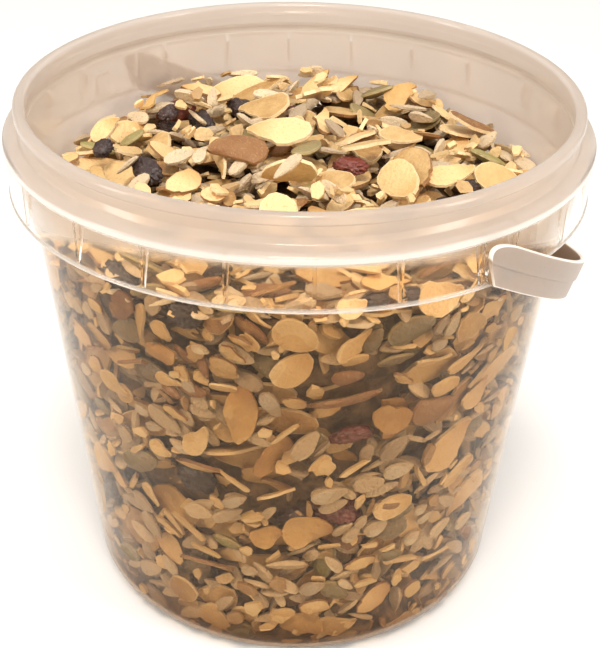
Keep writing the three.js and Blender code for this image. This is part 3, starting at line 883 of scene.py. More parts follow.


# single pieces that the photograph shows through the front wall, nearest to it first: kind, angle about
# Z, height, turn against level, length, width, tone in hundredths, which holds the piece's own colour
# and, for pieces in shade, painted shade
seenThroughWall = [
    ("almond", -71.5, 122.5, -84, 14.7, 6.7, 45), ("almond", -63.8, 136.4, -177, 11.5, 4.2, 80),
    ("kernel", -67.4, 131.5, -80, 6.8, 5.7, 50), ("fruit", -60.9, 130, 163, 12.7, 9.8, 20),
    ("kernel", -55.9, 134, -175, 5.5, 4, 85), ("almond", -53.5, 130.2, 147, 10.1, 7.3, 12),
    ("pumpkin", -75.8, 118.3, -126, 9, 9, 45), ("almond", -76.1, 128.6, 179, 10.3, 11.5, 5),
    ("kernel", -82.3, 130, 150, 6.4, 3.2, 60), ("almond", -75, 107.4, 157, 14.5, 3.4, 62),
    ("flake", -66.4, 116.7, -120, 10, 10.2, 35), ("almond", -65.9, 123.5, -146, 8, 5.8, 55),
    ("almond", -60.7, 124.8, -170, 8, 3.8, 30), ("almond", -56.4, 124.7, -143, 8, 4.2, 40),
    ("kernel", -57.3, 120.8, -173, 5.5, 3.2, 85), ("almond", -59.2, 118.2, -159, 9.5, 7.4, 30),
    ("almond", -61.6, 115.9, -154, 9.2, 3.1, 40), ("almond", -51.9, 116.6, -162, 10.3, 5.1, 40),
    ("almond", -52.5, 114.1, -171, 9.3, 4.2, 42), ("almond", -50.5, 121.1, -157, 9.9, 5, 38),
    ("almond", -49.1, 126, -154, 8, 3.5, 68), ("almond", -65.2, 106.8, -178, 9.6, 4.7, 58),
    ("pumpkin", -72.9, 104.3, 171, 14.9, 6.7, 15), ("almond", -78.5, 108.7, 171, 10.5, 4.9, 38),
    ("kernel", -91.6, 118.2, -136, 5.5, 6.5, 70), ("kernel", -87, 119.6, -138, 5.5, 5.5, 65),
    ("almond", -83.1, 123.3, -168, 8, 4.5, 60), ("almond", -88.3, 105.1, 158, 10.6, 3, 60),
    ("almond", -88.4, 100.6, -144, 8, 8.1, 55), ("kernel", -60.6, 106.9, -132, 5.5, 4.1, 50),
    ("chip", -63.5, 110.4, -132, 3.3, 3.2, 60), ("almond", -53, 108.7, -176, 8.1, 3.3, 60),
    ("almond", -81.6, 97.3, -174, 12.6, 6.9, 50), ("almond", -65.4, 103.3, -166, 8, 3.9, 55),
    ("almond", -79, 95, -178, 8, 5.6, 30), ("fruit", -75.4, 142.3, -140, 16.8, 11.5, 22),
    ("almond", -76.1, 139.5, -129, 8.1, 9.3, 8), ("almond", -80.5, 138, -90, 9.9, 4, 85),
    ("chip", -62.2, 148.1, -161, 7.7, 5.5, 85), ("almond", -59.6, 144.7, 148, 20.3, 5.5, 78),
    ("fruit", -57.5, 140.5, 148, 12.8, 6, 20), ("kernel", -52.7, 144, 124, 5.5, 3.6, 92),
    ("kernel", -49.1, 146.2, 148, 5.5, 3.3, 90), ("kernel", -49.7, 140.1, 166, 5.5, 3.6, 92),
    ("almond", -8.6, 138.6, 150, 14.5, 13.5, 66), ("almond", -19.8, 132.9, -172, 18.4, 3, 32),
    ("almond", -26.3, 125.1, 122, 14.1, 6.7, 80), ("almond", -25.9, 119.3, 162, 8, 3.2, 60),
    ("pumpkin", -14.7, 127.4, 163, 14.9, 7.8, 30), ("pumpkin", -22.5, 125.4, 119, 9, 4.8, 18),
    ("kernel", -5.1, 125.9, 115, 8.2, 4.5, 62), ("kernel", -7.9, 126.9, 126, 7, 3.3, 20),
    ("almond", 0.3, 121.8, -68, 11, 10.4, 36), ("almond", 6.4, 126, 140, 11.9, 11.5, 84),
    ("almond", 2, 111.1, 157, 15.6, 7.6, 72), ("almond", -7.4, 113.8, -179, 12.1, 5.3, 85),
    ("chip", -15.9, 122.4, -176, 10.8, 1.8, 82), ("pumpkin", -17, 117.4, 169, 11, 4.8, 20),
    ("almond", -14.8, 110.5, -150, 9.7, 3.8, 80), ("kernel", -7.6, 120.1, 171, 5.5, 4.3, 45),
    ("almond", -6, 96.8, 176, 16.4, 10.6, 68), ("flake", -16, 97.7, 152, 12.2, 13.3, 38),
    ("almond", 6.6, 95.9, 138, 11.7, 13.5, 86), ("almond", -3.8, 103.5, 169, 9.6, 6.7, 70),
    ("chip", 0.3, 90.5, 155, 2, 1.8, 95), ("almond", 7.4, 118.1, -169, 10.7, 5.3, 40),
    ("almond", 15.3, 110.2, -180, 8, 8.2, 70), ("kernel", 17.4, 117.5, -165, 10.3, 6.5, 60),
    ("almond", -27.5, 146.1, 141, 9.1, 7.7, 92), ("fruit", -22.7, 147.6, 174, 8.6, 6, 18),
    ("fruit", -15.3, 147.6, 168, 8, 6, 20), ("almond", -23.3, 141.7, 176, 14.1, 6.3, 90),
    ("almond", -14.4, 142.8, 172, 8, 3.6, 86), ("almond", -2.4, 141.9, 110, 8, 5.1, 85),
    ("almond", -37.9, 128.6, -149, 13.9, 10.4, 62), ("almond", -38.5, 116.9, 134, 14.1, 10.3, 74),
    ("kernel", -53.5, 130, 129, 12.2, 4.7, 42), ("almond", -47.8, 124.4, -145, 11.8, 5.8, 40),
    ("almond", -46.7, 129.3, -125, 13.7, 6.5, 8), ("kernel", -49.9, 120.5, -157, 10.7, 6.4, 60),
    ("flake", -49.7, 99.5, 103, 20.8, 10.6, 62), ("kernel", -42.9, 104.7, -118, 10, 5.5, 35),
    ("almond", -26.8, 103.7, 172, 23, 8.3, 70), ("almond", -31.2, 98.8, 179, 11.1, 5.1, 78),
    ("kernel", -15, 85.4, 133, 10.7, 6.5, 20), ("almond", -30.8, 81.6, 116, 14.2, 8.2, 62),
    ("kernel", -35.4, 89.7, 128, 11.4, 6.5, 60), ("almond", -69.5, 80.3, -177, 8.4, 5.8, 75),
    ("flake", -43.1, 84.4, 127, 17.8, 8.4, 30), ("kernel", -20.2, 73.2, 173, 9.8, 6.5, 75),
    ("kernel", -29.6, 70.7, 164, 11.2, 6.3, 72), ("kernel", -13.3, 76.5, 175, 10.1, 6.2, 72),
    ("kernel", -17.3, 54.8, 159, 8.1, 6.5, 60), ("kernel", -54, 59.8, 149, 11, 4.7, 60),
    ("kernel", -61.4, 58.8, -179, 9.2, 5.6, 88), ("kernel", -51.8, 66.7, 147, 8.7, 4.5, 50),
    ("almond", -41.9, 69.8, 153, 12.9, 3.3, 60), ("pumpkin", -22.4, 126.6, 116, 9, 5.8, 35),
    ("pumpkin", -16.6, 128.6, 157, 9, 7.1, 30), ("pumpkin", -12.3, 52.5, 147, 10.2, 7.7, 35),
    ("almond", -13.6, 62.3, 168, 13.2, 8.9, 84), ("almond", -45.3, 132.7, -146, 8, 3.9, 45),
    ("almond", -57.6, 114.6, -114, 8.8, 4.4, 35), ("almond", -60.6, 106.3, -168, 11.3, 6.2, 40),
    ("almond", -64.6, 95.6, -170, 9.7, 6, 55), ("kernel", -58.6, 101.8, -144, 6.2, 4.9, 60),
    ("almond", -38, 106.6, -148, 8, 4.7, 30), ("almond", -27.3, 114.4, 172, 9.6, 4.9, 25),
    ("almond", -26.9, 103.9, 171, 23, 7.9, 66), ("almond", -31.1, 98.7, -176, 11.8, 5, 80),
    ("flake", -16.7, 95.6, 142, 15, 14, 32), ("kernel", -15.1, 85.6, 142, 11.4, 6.5, 40),
    ("chip", -24.2, 80.7, 150, 11.6, 2.1, 88), ("kernel", -13.1, 76.3, -167, 11.2, 6.1, 75),
    ("kernel", -20.5, 73.5, 170, 9.9, 6.5, 80), ("kernel", -17.1, 70, 166, 11.3, 4.4, 55),
    ("kernel", -29.9, 70.6, 163, 10.2, 4.6, 66), ("kernel", -28.5, 66.1, 157, 9.2, 4.7, 45),
    ("almond", -13.6, 62.8, 173, 13, 7.5, 86), ("pumpkin", -10.8, 59.1, 169, 9, 6.4, 35),
    ("kernel", -5.1, 57, 169, 5.5, 3.7, 70), ("kernel", -3.2, 53, 165, 6.8, 3.9, 60),
    ("kernel", -17.3, 54.5, 156, 8.1, 6.4, 60), ("kernel", -21.3, 58.5, 118, 5.8, 3.5, 66),
    ("kernel", -23.4, 53.8, 138, 7.5, 4.3, 60), ("chip", -18.4, 48.6, -175, 6.5, 2.2, 80),
    ("chip", -13.3, 45.4, 163, 6.3, 2.3, 75), ("pumpkin", -11.7, 50.6, 173, 10, 6.8, 38),
    ("pumpkin", -12.1, 41.2, -171, 9, 4.5, 40), ("kernel", -6.4, 45.9, 154, 6.2, 5.1, 85),
    ("kernel", 3.1, 44.3, 157, 9.5, 6.5, 88), ("almond", 1.9, 78.6, 135, 22.2, 14, 84),
    ("almond", 5.6, 66.1, 148, 13.8, 7.4, 80), ("chip", -6.4, 71, -115, 11.6, 2.5, 60),
    ("almond", -20.9, 41.7, 180, 11.6, 6, 78), ("chip", -9, 37.6, -170, 14, 2.8, 86),
    ("almond", -16, 24.2, 167, 15.1, 11.8, 100), ("kernel", -23.9, 32.5, -135, 6.7, 3.2, 90),
    ("chip", -18.7, 32.1, 176, 8.1, 2.7, 78), ("almond", -8.7, 30.3, 105, 8, 4.8, 62),
    ("almond", -2.9, 22.2, 173, 8, 6.7, 50), ("almond", -30.9, 24.2, 170, 11.4, 6.7, 78),
    ("almond", -25.2, 15.4, 169, 11.8, 11.2, 45), ("pumpkin", -26.5, 29.7, -134, 12.1, 6.5, 50),
    ("kernel", -32.6, 32.3, 158, 8.6, 5.5, 40), ("kernel", -25.6, 55.7, 147, 7.5, 3.9, 72),
    ("almond", 3.7, 31, -173, 14.6, 6.2, 50), ("kernel", 13.7, 39.9, 177, 8.4, 6.5, 85),
    ("almond", 13, 19.5, 126, 9.7, 12.6, 60), ("almond", -59.9, 88.4, 112, 13.8, 7.4, 68),
    ("almond", -61.9, 76.1, -174, 18.4, 7.8, 78), ("chip", -77.2, 75.9, 139, 9.6, 2.4, 70),
    ("almond", -52.3, 83.7, 165, 16.8, 3, 82), ("chip", -44.1, 94.9, 157, 4.7, 3.3, 88),
    ("chip", -40.1, 94.5, 137, 11, 1.6, 74), ("chip", -39.6, 93.5, 136, 10.4, 1.6, 70),
    ("kernel", -62.4, 94.4, -144, 6.3, 5.6, 50), ("kernel", -67.9, 91.7, -152, 12.5, 6.5, 55),
    ("kernel", -58.2, 98.2, -169, 8.5, 4.3, 50), ("kernel", -73.8, 92.2, -161, 5.5, 4, 60),
    ("chip", -75.2, 83, 166, 6.5, 4.4, 80), ("kernel", -70.9, 87.7, 169, 6.2, 3.4, 55),
    ("kernel", -66.3, 87.3, -177, 5.5, 3.2, 45), ("kernel", -81.3, 78, -180, 6.7, 6.5, 50),
    ("pumpkin", -77.4, 70.5, 153, 15.8, 8.7, 45), ("almond", -74.7, 67.2, 143, 23, 3.3, 60),
    ("almond", -93.6, 58.4, -161, 12.6, 14, 88), ("almond", -88.4, 67.4, -155, 8, 7.9, 85),
    ("chip", -70.8, 48.1, -147, 11.1, 2.4, 60), ("chip", -68.8, 51.1, -123, 11.5, 2.3, 60),
    ("chip", -64.8, 51.4, -145, 14, 2.6, 62), ("almond", -75.3, 58.2, -133, 9.5, 4.6, 58),
    ("fruit", -63, 69.2, -172, 15.5, 12.7, 14), ("kernel", -79, 52.5, -165, 10.2, 6.5, 50),
    ("kernel", -76.6, 45, -130, 10.7, 6.5, 45), ("kernel", -61.3, 59.9, 144, 12.5, 4.4, 80),
    ("kernel", -51.8, 66.6, 165, 7.3, 4.3, 52), ("kernel", -54.2, 58.6, 180, 9.6, 4.3, 98),
    ("chip", -47.2, 60.8, 156, 7.6, 3.6, 50), ("almond", -41.8, 69, -167, 12, 4.1, 86),
    ("chip", -50.9, 74.7, -144, 13, 1.7, 55), ("almond", -55.4, 69.6, 142, 12.1, 6, 35),
    ("almond", -55.2, 55.7, -178, 12.2, 4.1, 50), ("pumpkin", -54.2, 48.5, -160, 10.2, 4.5, 85),
    ("chip", -48.9, 47.2, 172, 5.3, 4, 96), ("flake", -44.2, 53.9, 168, 11.1, 9.6, 58),
    ("chip", -60.2, 43.7, -165, 10.8, 2.1, 50), ("almond", -60.1, 34, -169, 23, 9.6, 55),
    ("chip", -57, 27.5, 164, 6, 4.3, 98), ("kernel", -80.3, 23.5, 152, 12.5, 6.5, 60),
    ("almond", -68.2, 22.4, -168, 10.9, 10.6, 22), ("almond", -59, 12.1, -134, 14.4, 9.4, 62),
    ("chip", -47.6, 22.5, 177, 7.6, 6, 70), ("almond", -39.8, 19.1, 159, 10.6, 7.3, 58),
    ("almond", -67.5, 15.9, 153, 9, 4.1, 28), ("kernel", -48.7, 38.5, -177, 5.5, 4.1, 50),
    ("flake", -34.4, 56.2, -178, 15.8, 12.9, 78), ("kernel", -43.5, 63.6, 128, 6.8, 3.2, 60),
    ("almond", -46.5, 134.3, -156, 8, 3, 82), ("kernel", -39.3, 132.1, -146, 5.5, 3.2, 72),
    ("almond", -34.5, 135.8, -165, 8.2, 3, 85),
]


def seenSize(kind, long, wide):
    # its size, and how far it stands on its edge where it looks narrow
    half = kinds[kind]["half"]
    full = max(wide, long * 0.5) if kind in ("almond", "pumpkin", "flake") else wide
    roll = math.acos(min(1, wide / full))
    stick = kind == "chip" and long > 2.4 * wide
    thick = 0.6 + 0.4 * min(1.3, long / (2 * half[0]))
    size = (long / 2, full / 2, half[2] * thick)
    scale = (long / 2 / half[0], full / 2 / half[1] / (0.4 if stick else 1), thick)
    return scale, size, roll, stick


def pickShape(kind, stick):
    # the last two chips are sticks
    count = kinds[kind]["shapes"]
    if kind == "chip":
        return int(rng.integers(count - 2, count)) if stick else int(rng.integers(count - 2))
    return int(rng.integers(count))


for kind, angle, z, yaw, long, wide, tone in seenThroughWall:
    angle = math.radians(angle)
    t = min(wallDistance(z), wallTop(angle) - 1.5)
    scale, size, roll, stick = seenSize(kind, long, wide)
    roll += rng.normal(0, 0.07)
    shape = pickShape(kind, stick)
    if z > 136 and kind != "fruit":
        tone = min(100, tone + 22)  # painted light: lighter behind the skirt, lit from above
    layOnWall(kind, angle, t, math.radians(yaw), roll, scale, size, shape, 0.15, tone / 100)

fillWall({"almond": 150, "flake": 8, "kernel": 460, "pumpkin": 36, "fruit": 12, "chip": 560})
fillWall({"almond": 300, "flake": 14, "kernel": 540, "pumpkin": 44, "fruit": 14, "chip": 480})
fillWall({"almond": 200, "kernel": 160, "pumpkin": 16})
print("wall laid, mean depth", round(float(wallField.mean()), 2))

# pieces on the heap: each comes to rest on those below
topOrigin = 84.0
topCells = int(2 * topOrigin / heap["grain"])
across = (np.arange(topCells) * heap["grain"]) - topOrigin
heapLevels = heapLevel(across[None, :], across[:, None])
topField = heapLevels - heap["topDepth"]
inHeap = across[None, :] ** 2 + across[:, None] ** 2 < 72 ** 2
fromMiddle = np.hypot(across[None, :], across[:, None])
atRim = (fromMiddle > 71) & (fromMiddle < 78.5)


def layOnTop(kind, x, y, yaw, roll, scale, size, shape, press, tone=-1):
    place = (x + topOrigin, y + topOrigin)
    rest = settle(topField, place, size, yaw, roll, (0, 0), 0.6, False, press, 0.16)
    if rest is None:
        return
    turn = orient(Matrix.Identity(3), yaw, roll, rest[1])
    laid[kind].append(((x, y, rest[0]), turn, scale, shape, tone, 0))


def reachOnTop(size, yaw, angle):
    # how far out a piece's middle may lie before an end meets the wall
    along = math.hypot(size[0] * math.cos(yaw - angle), size[1] * math.sin(yaw - angle))
    return coneRadius(heap["level"] - 4) - pail["wall"] + 0.3 - along


def overLevel(part):
    return float((topField - heapLevels)[part].mean())


def heightAt(out, angle, yaw):
    x = out * math.cos(angle)
    y = out * math.sin(angle)
    row = int((y + topOrigin) / heap["grain"])
    col = int((x + topOrigin) / heap["grain"])
    return topField[row, col] - heapLevel(x, y) + rng.uniform(0, 0.8), x, y, yaw


def anywhere(size):
    yaw = rng.uniform(0, wholeTurn)

    def guess():
        angle = rng.uniform(0, wholeTurn)
        return heightAt(reachOnTop(size, yaw, angle) * math.sqrt(rng.uniform(0, 1)), angle, yaw)

    return lowestOf(6, guess)


def alongWall(size):
    def guess():
        angle = rng.uniform(0, wholeTurn)
        yaw = angle + math.pi / 2 + rng.normal(0, 0.3)
        return heightAt(reachOnTop(size, yaw, angle) - rng.uniform(0, 4), angle, yaw)

    return lowestOf(8, guess)


def fillHeap(find, part, stopAt, counts, press=0.3):
    # until that part of the heap stands at stopAt over its own level, in mm
    for number, kind in enumerate(shuffled(counts)):
        if number % 10 == 0 and overLevel(part) > stopAt:
            break
        scale, size = pieceSize(kind)
        _, x, y, yaw = find(size)
        roll, shape = rollAndShape(kind)
        layOnTop(kind, x, y, yaw, roll, scale, size, shape, press)


# small pieces fill up along the wall, where the larger ones don't reach
fillHeap(anywhere, inHeap, -5.5, {"almond": 70, "kernel": 240, "pumpkin": 12, "fruit": 5, "chip": 200})
fillHeap(alongWall, atRim, -2.5, {"almond": 30, "kernel": 70, "pumpkin": 4, "chip": 80})
fillHeap(anywhere, inHeap, -3.6, {
    "almond": 170, "flake": 6, "kernel": 130, "pumpkin": 8, "fruit": 2, "chip": 330,
})

# single pieces that the photograph shows on the heap: kind, x, y, turn, length, width, tone, which holds
# the piece's own colour and, for pieces in shade, painted shade
seenOnHeap = [
    ("fruit", -49.3, 13.7, -6, 16, 9, 20), ("fruit", -53.1, -0, -7, 16, 9, 15),
    ("fruit", -57.4, -10.2, 12, 7.8, 9, 40), ("almond", -25.9, 15.2, -7, 19, 11, 92),
    ("kernel", -29.4, 22.5, 116, 11, 5.5, 30), ("almond", -21, 26.1, 132, 19, 6.7, 84),
    ("almond", -6.3, 27.5, 62, 15.9, 11, 100), ("fruit", 11.2, 10.6, 12, 14.9, 9, 98),
    ("almond", 14.8, 2.1, 26, 14.6, 11, 35), ("pumpkin", -2.7, 5.4, 115, 14.9, 8, 60),
    ("pumpkin", 17.9, -8.1, 84, 13.3, 8, 75), ("pumpkin", -33.3, 59.7, 16, 13.9, 8, 40),
    ("pumpkin", -11.4, 62.9, 105, 15, 8, 20), ("pumpkin", -29.9, 0.4, 117, 14.2, 8, 65),
    ("flake", -23.2, 61.2, 60, 16.1, 12, 55), ("almond", 1.7, 40.3, 42, 15.5, 11, 40),
    ("chip", 10.8, 32.3, 81, 12, 4.9, 60), ("kernel", -7.2, -4.5, 104, 11, 5.5, 35),
    ("kernel", -21.8, -29.1, 87, 11, 5.5, 72), ("kernel", -0.5, -12.1, 97, 8.5, 5.5, 66),
    ("kernel", -4.5, -19.3, 87, 10.3, 5.5, 70), ("almond", -10.1, -35.1, 118, 13.9, 10.3, 92),
    ("almond", 3.3, -32.7, 83, 10, 7.5, 88), ("almond", 10.8, -23.3, 100, 13.5, 9.4, 90),
    ("almond", 10.7, -10.9, 88, 16.6, 8.9, 86), ("kernel", 4.3, -2.4, 100, 8.5, 5.5, 80),
    ("almond", 22.8, -1.4, 117, 14.7, 7.7, 90), ("almond", 29.4, 20.4, 103, 17.3, 8.3, 86),
    ("kernel", 26.7, 25.8, 105, 10.5, 5.5, 76), ("almond", -54.2, 34.5, 98, 14.6, 7.9, 60),
    ("almond", -54.6, 38.4, 106, 14.5, 7.1, 12), ("almond", -51.3, 46.8, 106, 19, 9.8, 70),
    ("almond", -50.7, 50.8, 98, 12.5, 7.9, 75), ("almond", -45.9, 54.8, 88, 14.2, 8.4, 90),
    ("almond", -41.5, 54.4, 95, 11.9, 8.2, 30), ("almond", -63.1, -30.4, 77, 11.3, 11, 92),
    ("pumpkin", -56.5, -37.9, 45, 12.2, 8, 95), ("almond", -55, -43.8, 18, 17.5, 8.1, 94),
    ("fruit", -41.7, -44.2, 35, 7, 7.8, 18), ("flake", -70.3, -7.1, 128, 15.7, 10.6, 62),
    ("almond", -69.3, -23.1, 127, 14.8, 6.7, 8), ("almond", -63, -22.5, 100, 16.7, 5, 84),
    ("fruit", -58.7, -9.3, 92, 7, 9, 30), ("pumpkin", -54.1, -26.1, 81, 9.8, 6.9, 75),
    ("almond", -45.7, -34.4, 124, 18.3, 11, 64), ("almond", -33.6, -25.1, 89, 16, 11, 78),
    ("fruit", -25.2, -38.7, -6, 16, 8.7, 20), ("almond", -15.7, -37.8, 130, 11.2, 4.8, 40),
    ("almond", -10.6, -34.9, 125, 13.4, 7.7, 92), ("almond", -5.7, -29.9, 29, 8, 6.9, 84),
    ("almond", 3.2, -33.3, 84, 8.8, 8.1, 95), ("almond", 5.6, -29.6, 140, 9, 3, 15),
    ("almond", -34.1, -41.9, 113, 8.7, 7.9, 94), ("kernel", -23.1, -28.5, 73, 10.1, 5.5, 52),
    ("kernel", -14.9, -23.8, 61, 6.2, 4.1, 10), ("almond", -10.8, -27.1, 65, 7, 5.5, 40),
    ("kernel", -26.6, -18, 74, 5.3, 5.5, 60), ("almond", -20.2, -15.8, -25, 18.1, 4.3, 90),
    ("almond", -14.7, -9.4, -1, 14.3, 5.3, 30), ("kernel", -4.8, -18.7, 19, 11, 5.5, 76),
    ("almond", 4.4, -20.4, -7, 8.2, 5.6, 92), ("almond", -20.6, 68.8, 84, 13.1, 7.4, 86),
    ("almond", -12, 72.3, 21, 11.4, 7, 88), ("pumpkin", -12.2, 63.9, 100, 15, 8, 25),
    ("almond", 4, 69.4, 64, 19, 9.9, 5), ("almond", 0.9, 69.4, 59, 19, 11, 100),
    ("chip", -5.1, 74.4, 82, 9.6, 2.5, 82), ("almond", 4.7, 60.3, 113, 18.7, 11, 94),
    ("almond", 15.6, 52.2, 113, 14.4, 8.3, 92), ("kernel", 25.4, 44, 119, 9.3, 3.3, 80),
    ("pumpkin", 18, 63.3, 31, 13.9, 8, 85), ("kernel", 10.2, 70.5, 84, 8.3, 5.5, 62),
    ("kernel", 17, 70.2, 18, 7.1, 5.5, 62), ("almond", 20.3, 69.8, -10, 7, 6.9, 92),
    ("almond", 25.8, 68.3, 22, 7, 7.1, 98), ("pumpkin", 22.2, 70.9, 102, 8, 4, 60),
    ("flake", 0.8, 41.7, 50, 14, 11.2, 80), ("chip", 10.3, 32.6, 76, 11.7, 3.5, 50),
    ("almond", 17.6, 27.2, 87, 13, 6.6, 22), ("kernel", 20.9, 39.6, 30, 9.4, 5.5, 52),
    ("kernel", 27, 30.9, 55, 9.2, 5.5, 50), ("almond", 27, 25.7, 15, 7, 6.6, 18),
    ("almond", 32, 18.7, 6, 14.4, 8.1, 88), ("almond", 33.1, 32.4, 83, 18.9, 4.4, 74),
    ("fruit", 36, 39.1, 105, 16, 6.6, 20), ("fruit", 36.7, 8.2, 84, 8.5, 5, 18),
    ("fruit", 38.6, 24.8, 80, 7, 5, 20), ("kernel", 26.8, 52.9, 67, 8.1, 5.5, 72),
    ("kernel", 32.7, 57.9, 94, 6.1, 4.4, 60),
]

for kind, x, y, yaw, long, wide, tone in reversed(seenOnHeap):
    scale, size, roll, stick = seenSize(kind, long, wide)
    roll = 0.6 * roll + rng.normal(0, 0.1)
    shape = pickShape(kind, stick)
    layOnTop(kind, x, y, math.radians(yaw), roll, scale, size, shape, 0.2, tone / 100)
fillHeap(alongWall, atRim, 0.4, {"almond": 40, "kernel": 90, "pumpkin": 5, "chip": 110})
fillHeap(anywhere, inHeap, 0.7, {"chip": 430, "kernel": 170, "almond": 44, "pumpkin": 6}, 0.25)
highest = round(float(topField[inHeap].max()), 1)
print("heap laid, mean over level", round(overLevel(inHeap), 2), "highest", highest)

# a first layer on the pail's floor, seen only from below
floorField = np.zeros((topCells, topCells)) + pail["wall"] + pail["floorRise"]


def fillFloor(counts):
    for kind in shuffled(counts):
        scale, size = pieceSize(kind)
        angle = rng.uniform(0, wholeTurn)
        out = heap["floorReach"] * math.sqrt(rng.uniform(0, 1)) - 4
        x = out * math.cos(angle)
        y = out * math.sin(angle)
        yaw = rng.uniform(0, wholeTurn)
        roll = rng.normal(0, kinds[kind]["roll"])
        shape = int(rng.integers(kinds[kind]["shapes"]))
        place = (x + topOrigin, y + topOrigin)
        rest = settle(floorField, place, size, yaw, roll, (0, 0), 0.5, False, 0.2)
        if rest is None or rest[0] > 8:
            continue
        turn = orient(Matrix.Identity(3), yaw, roll, rest[1])
        # painted shade: pieces on the floor are darkened
        laid[kind].append(((x, y, rest[0] - 0.2), turn, scale, shape, -1, 1.5))


fillFloor({"almond": 40, "kernel": 110, "pumpkin": 16, "fruit": 4, "chip": 60})


# muesli: the shapes of single pieces
def unevenOval(draw, sides, point, ragged, cuts):
    # an oval outline, pointed at one end, with pieces broken off along rough lines
    turn = wholeTurn * (np.arange(sides) + draw.uniform(-0.25, 0.25, sides)) / sides
    wave = sum(draw.uniform(-1, 1) * np.sin(n * turn + draw.uniform(0, 6)) / n for n in (2, 3, 5))
    radius = 0.97 + ragged * (wave + 0.45 * draw.uniform(-1, 1, sides))
    x = np.cos(turn) * radius
    y = np.sin(turn) * radius * (1 - point * np.cos(turn))
    for _ in range(cuts):
        a = draw.uniform(0, wholeTurn)
        far = draw.uniform(0.3, 0.7)
        over = np.maximum(0, x * math.cos(a) + y * math.sin(a) - far)
        over = over * (1 + draw.uniform(-0.3, 0.25, sides))
        x = x - over * math.cos(a)
        y = y - over * math.sin(a)
    return np.clip(x, -1.04, 1.04), np.clip(y, -1.1, 1.1)


def finishShape(name, halfLong, points, faces, sharp, **marks):
    mesh = makeMesh(name, points, faces, sharp)
    for mark, values in marks.items():
        paintMark(mesh, mark, values)
    paintMark(mesh, "endward", [p[0] / halfLong for p in points])
    return mesh


def plateShape(name, half, sides, curl, wave, cuts, seed, rings, point=0.25, ragged=0.05,
               skin=0, cap=False):
    # a thin plate on an uneven oval; rings are (share of the outline, height, mark "edge")
    draw = np.random.default_rng(seed)
    halfLong, halfWide, halfThick = half
    x, y = unevenOval(draw, sides, point, ragged, cuts)
    phase = draw.uniform(0, 6, 4)
    points = []
    edges = []
    for share, side, mark in rings:
        for k in range(1 if share == 0 else sides):
            px = x[k] * share if share else float(x.mean()) * 0.5
            py = y[k] * share if share else float(y.mean()) * 0.5
            ripple = math.sin(3.1 * px + phase[0]) * math.sin(2.7 * py + phase[1])
            lift = curl * (px * px - 0.3) + wave * ripple
            points.append((px * halfLong, py * halfWide, (side + lift) * halfThick))
            edges.append(1 if cap and side < 0 else mark)
    faces = ringFaces(len(rings) - 2, sides)
    return finishShape(name, halfLong, points, faces, 38, edge=edges, skin=[skin] * len(points))


def dropShape(name, half, around, along, seed, point=0.3, groove=0.16, ruck=0.1):
    # a plump drop, pointed at one end, with a shallow groove down each flat side
    draw = np.random.default_rng(seed)
    halfLong, halfWide, halfThick = half
    points = [(-halfLong, 0, 0)]
    edges = [1.0]
    bend = draw.uniform(-0.15, 0.15)
    for i in range(1, along):
        u = -math.cos(math.pi * i / along)
        girth = math.sqrt(max(0, 1 - u * u)) * (1 - point * u)
        for k in range(around):
            a = 2 * math.pi * k / around
            ridge = ruck if k % 2 else -ruck
            lump = 1 + ridge + ruck * 0.7 * draw.uniform(-1, 1)
            side = math.cos(a)
            up = math.sin(a) * (1 - groove * (1 - abs(side)))
            points.append((
                u * halfLong,
                side * girth * halfWide * lump,
                (up * girth * lump + bend * (1 - u * u)) * halfThick,
            ))
            edges.append(abs(side))
    points.append((halfLong, 0, 0))
    edges.append(1.0)
    return finishShape(name, halfLong, points, ringFaces(along - 1, around), 33, edge=edges)


def wrinkledShape(name, half, detail, seed, depth=0.2):
    # a dried fruit: a lump folded into wrinkles
    bm = bmesh.new()
    bmesh.ops.create_icosphere(bm, subdivisions=detail, radius=1)
    shift = Vector((seed * 3.7, seed * 1.3, -seed * 2.1))
    edges = []
    for v in bm.verts:
        p = v.co.copy()
        lump = 0.22 * noise.noise(p * 0.9 + shift)
        warp = p + 0.35 * noise.noise_vector(p * 1.6 + shift)
        fold = abs(noise.noise(Vector((warp.x * 1.6, warp.y * 3.6, warp.z * 3.6)) + shift * 2))
        small = abs(noise.noise(warp * 5.2 + shift))
        reach = 0.92 + lump - depth * (0.26 - min(fold, 0.26)) - depth * 0.5 * (0.2 - min(small, 0.2))
        v.co = Vector((p.x * half[0], p.y * half[1], p.z * half[2])) * reach * mm
        edges.append(min(1, fold * 2.5))
    mesh = bpy.data.meshes.new(name)
    bm.to_mesh(mesh)
    bm.free()
    mesh.shade_smooth()
    paintMark(mesh, "edge", edges)
    paintMark(mesh, "endward", [v.co.x / (half[0] * mm) for v in mesh.vertices])
    return mesh


def shardShape(name, half, seed, stick):
    # a broken bit of nut: a rough flat shard, or a sliver
    draw = np.random.default_rng(seed)
    sides = 6 if stick else 7
    x, y = unevenOval(draw, sides, 0.1, 0.22, 1)
    width = 0.4 if stick else 1.0
    tilt = draw.uniform(-0.35, 0.35, 2)
    points = []
    for side in (1, -1):
        for k in range(sides):
            rough = 1 + draw.uniform(-0.12, 0.12)
            high = side * (1 + tilt[0] * x[k] + tilt[1] * y[k] + draw.uniform(-0.2, 0.2))
            points.append((x[k] * rough * half[0], y[k] * rough * half[1] * width, high * half[2]))
    return finishShape(name, half[0], points, prismFaces(sides), 35, edge=[0.3] * len(points))


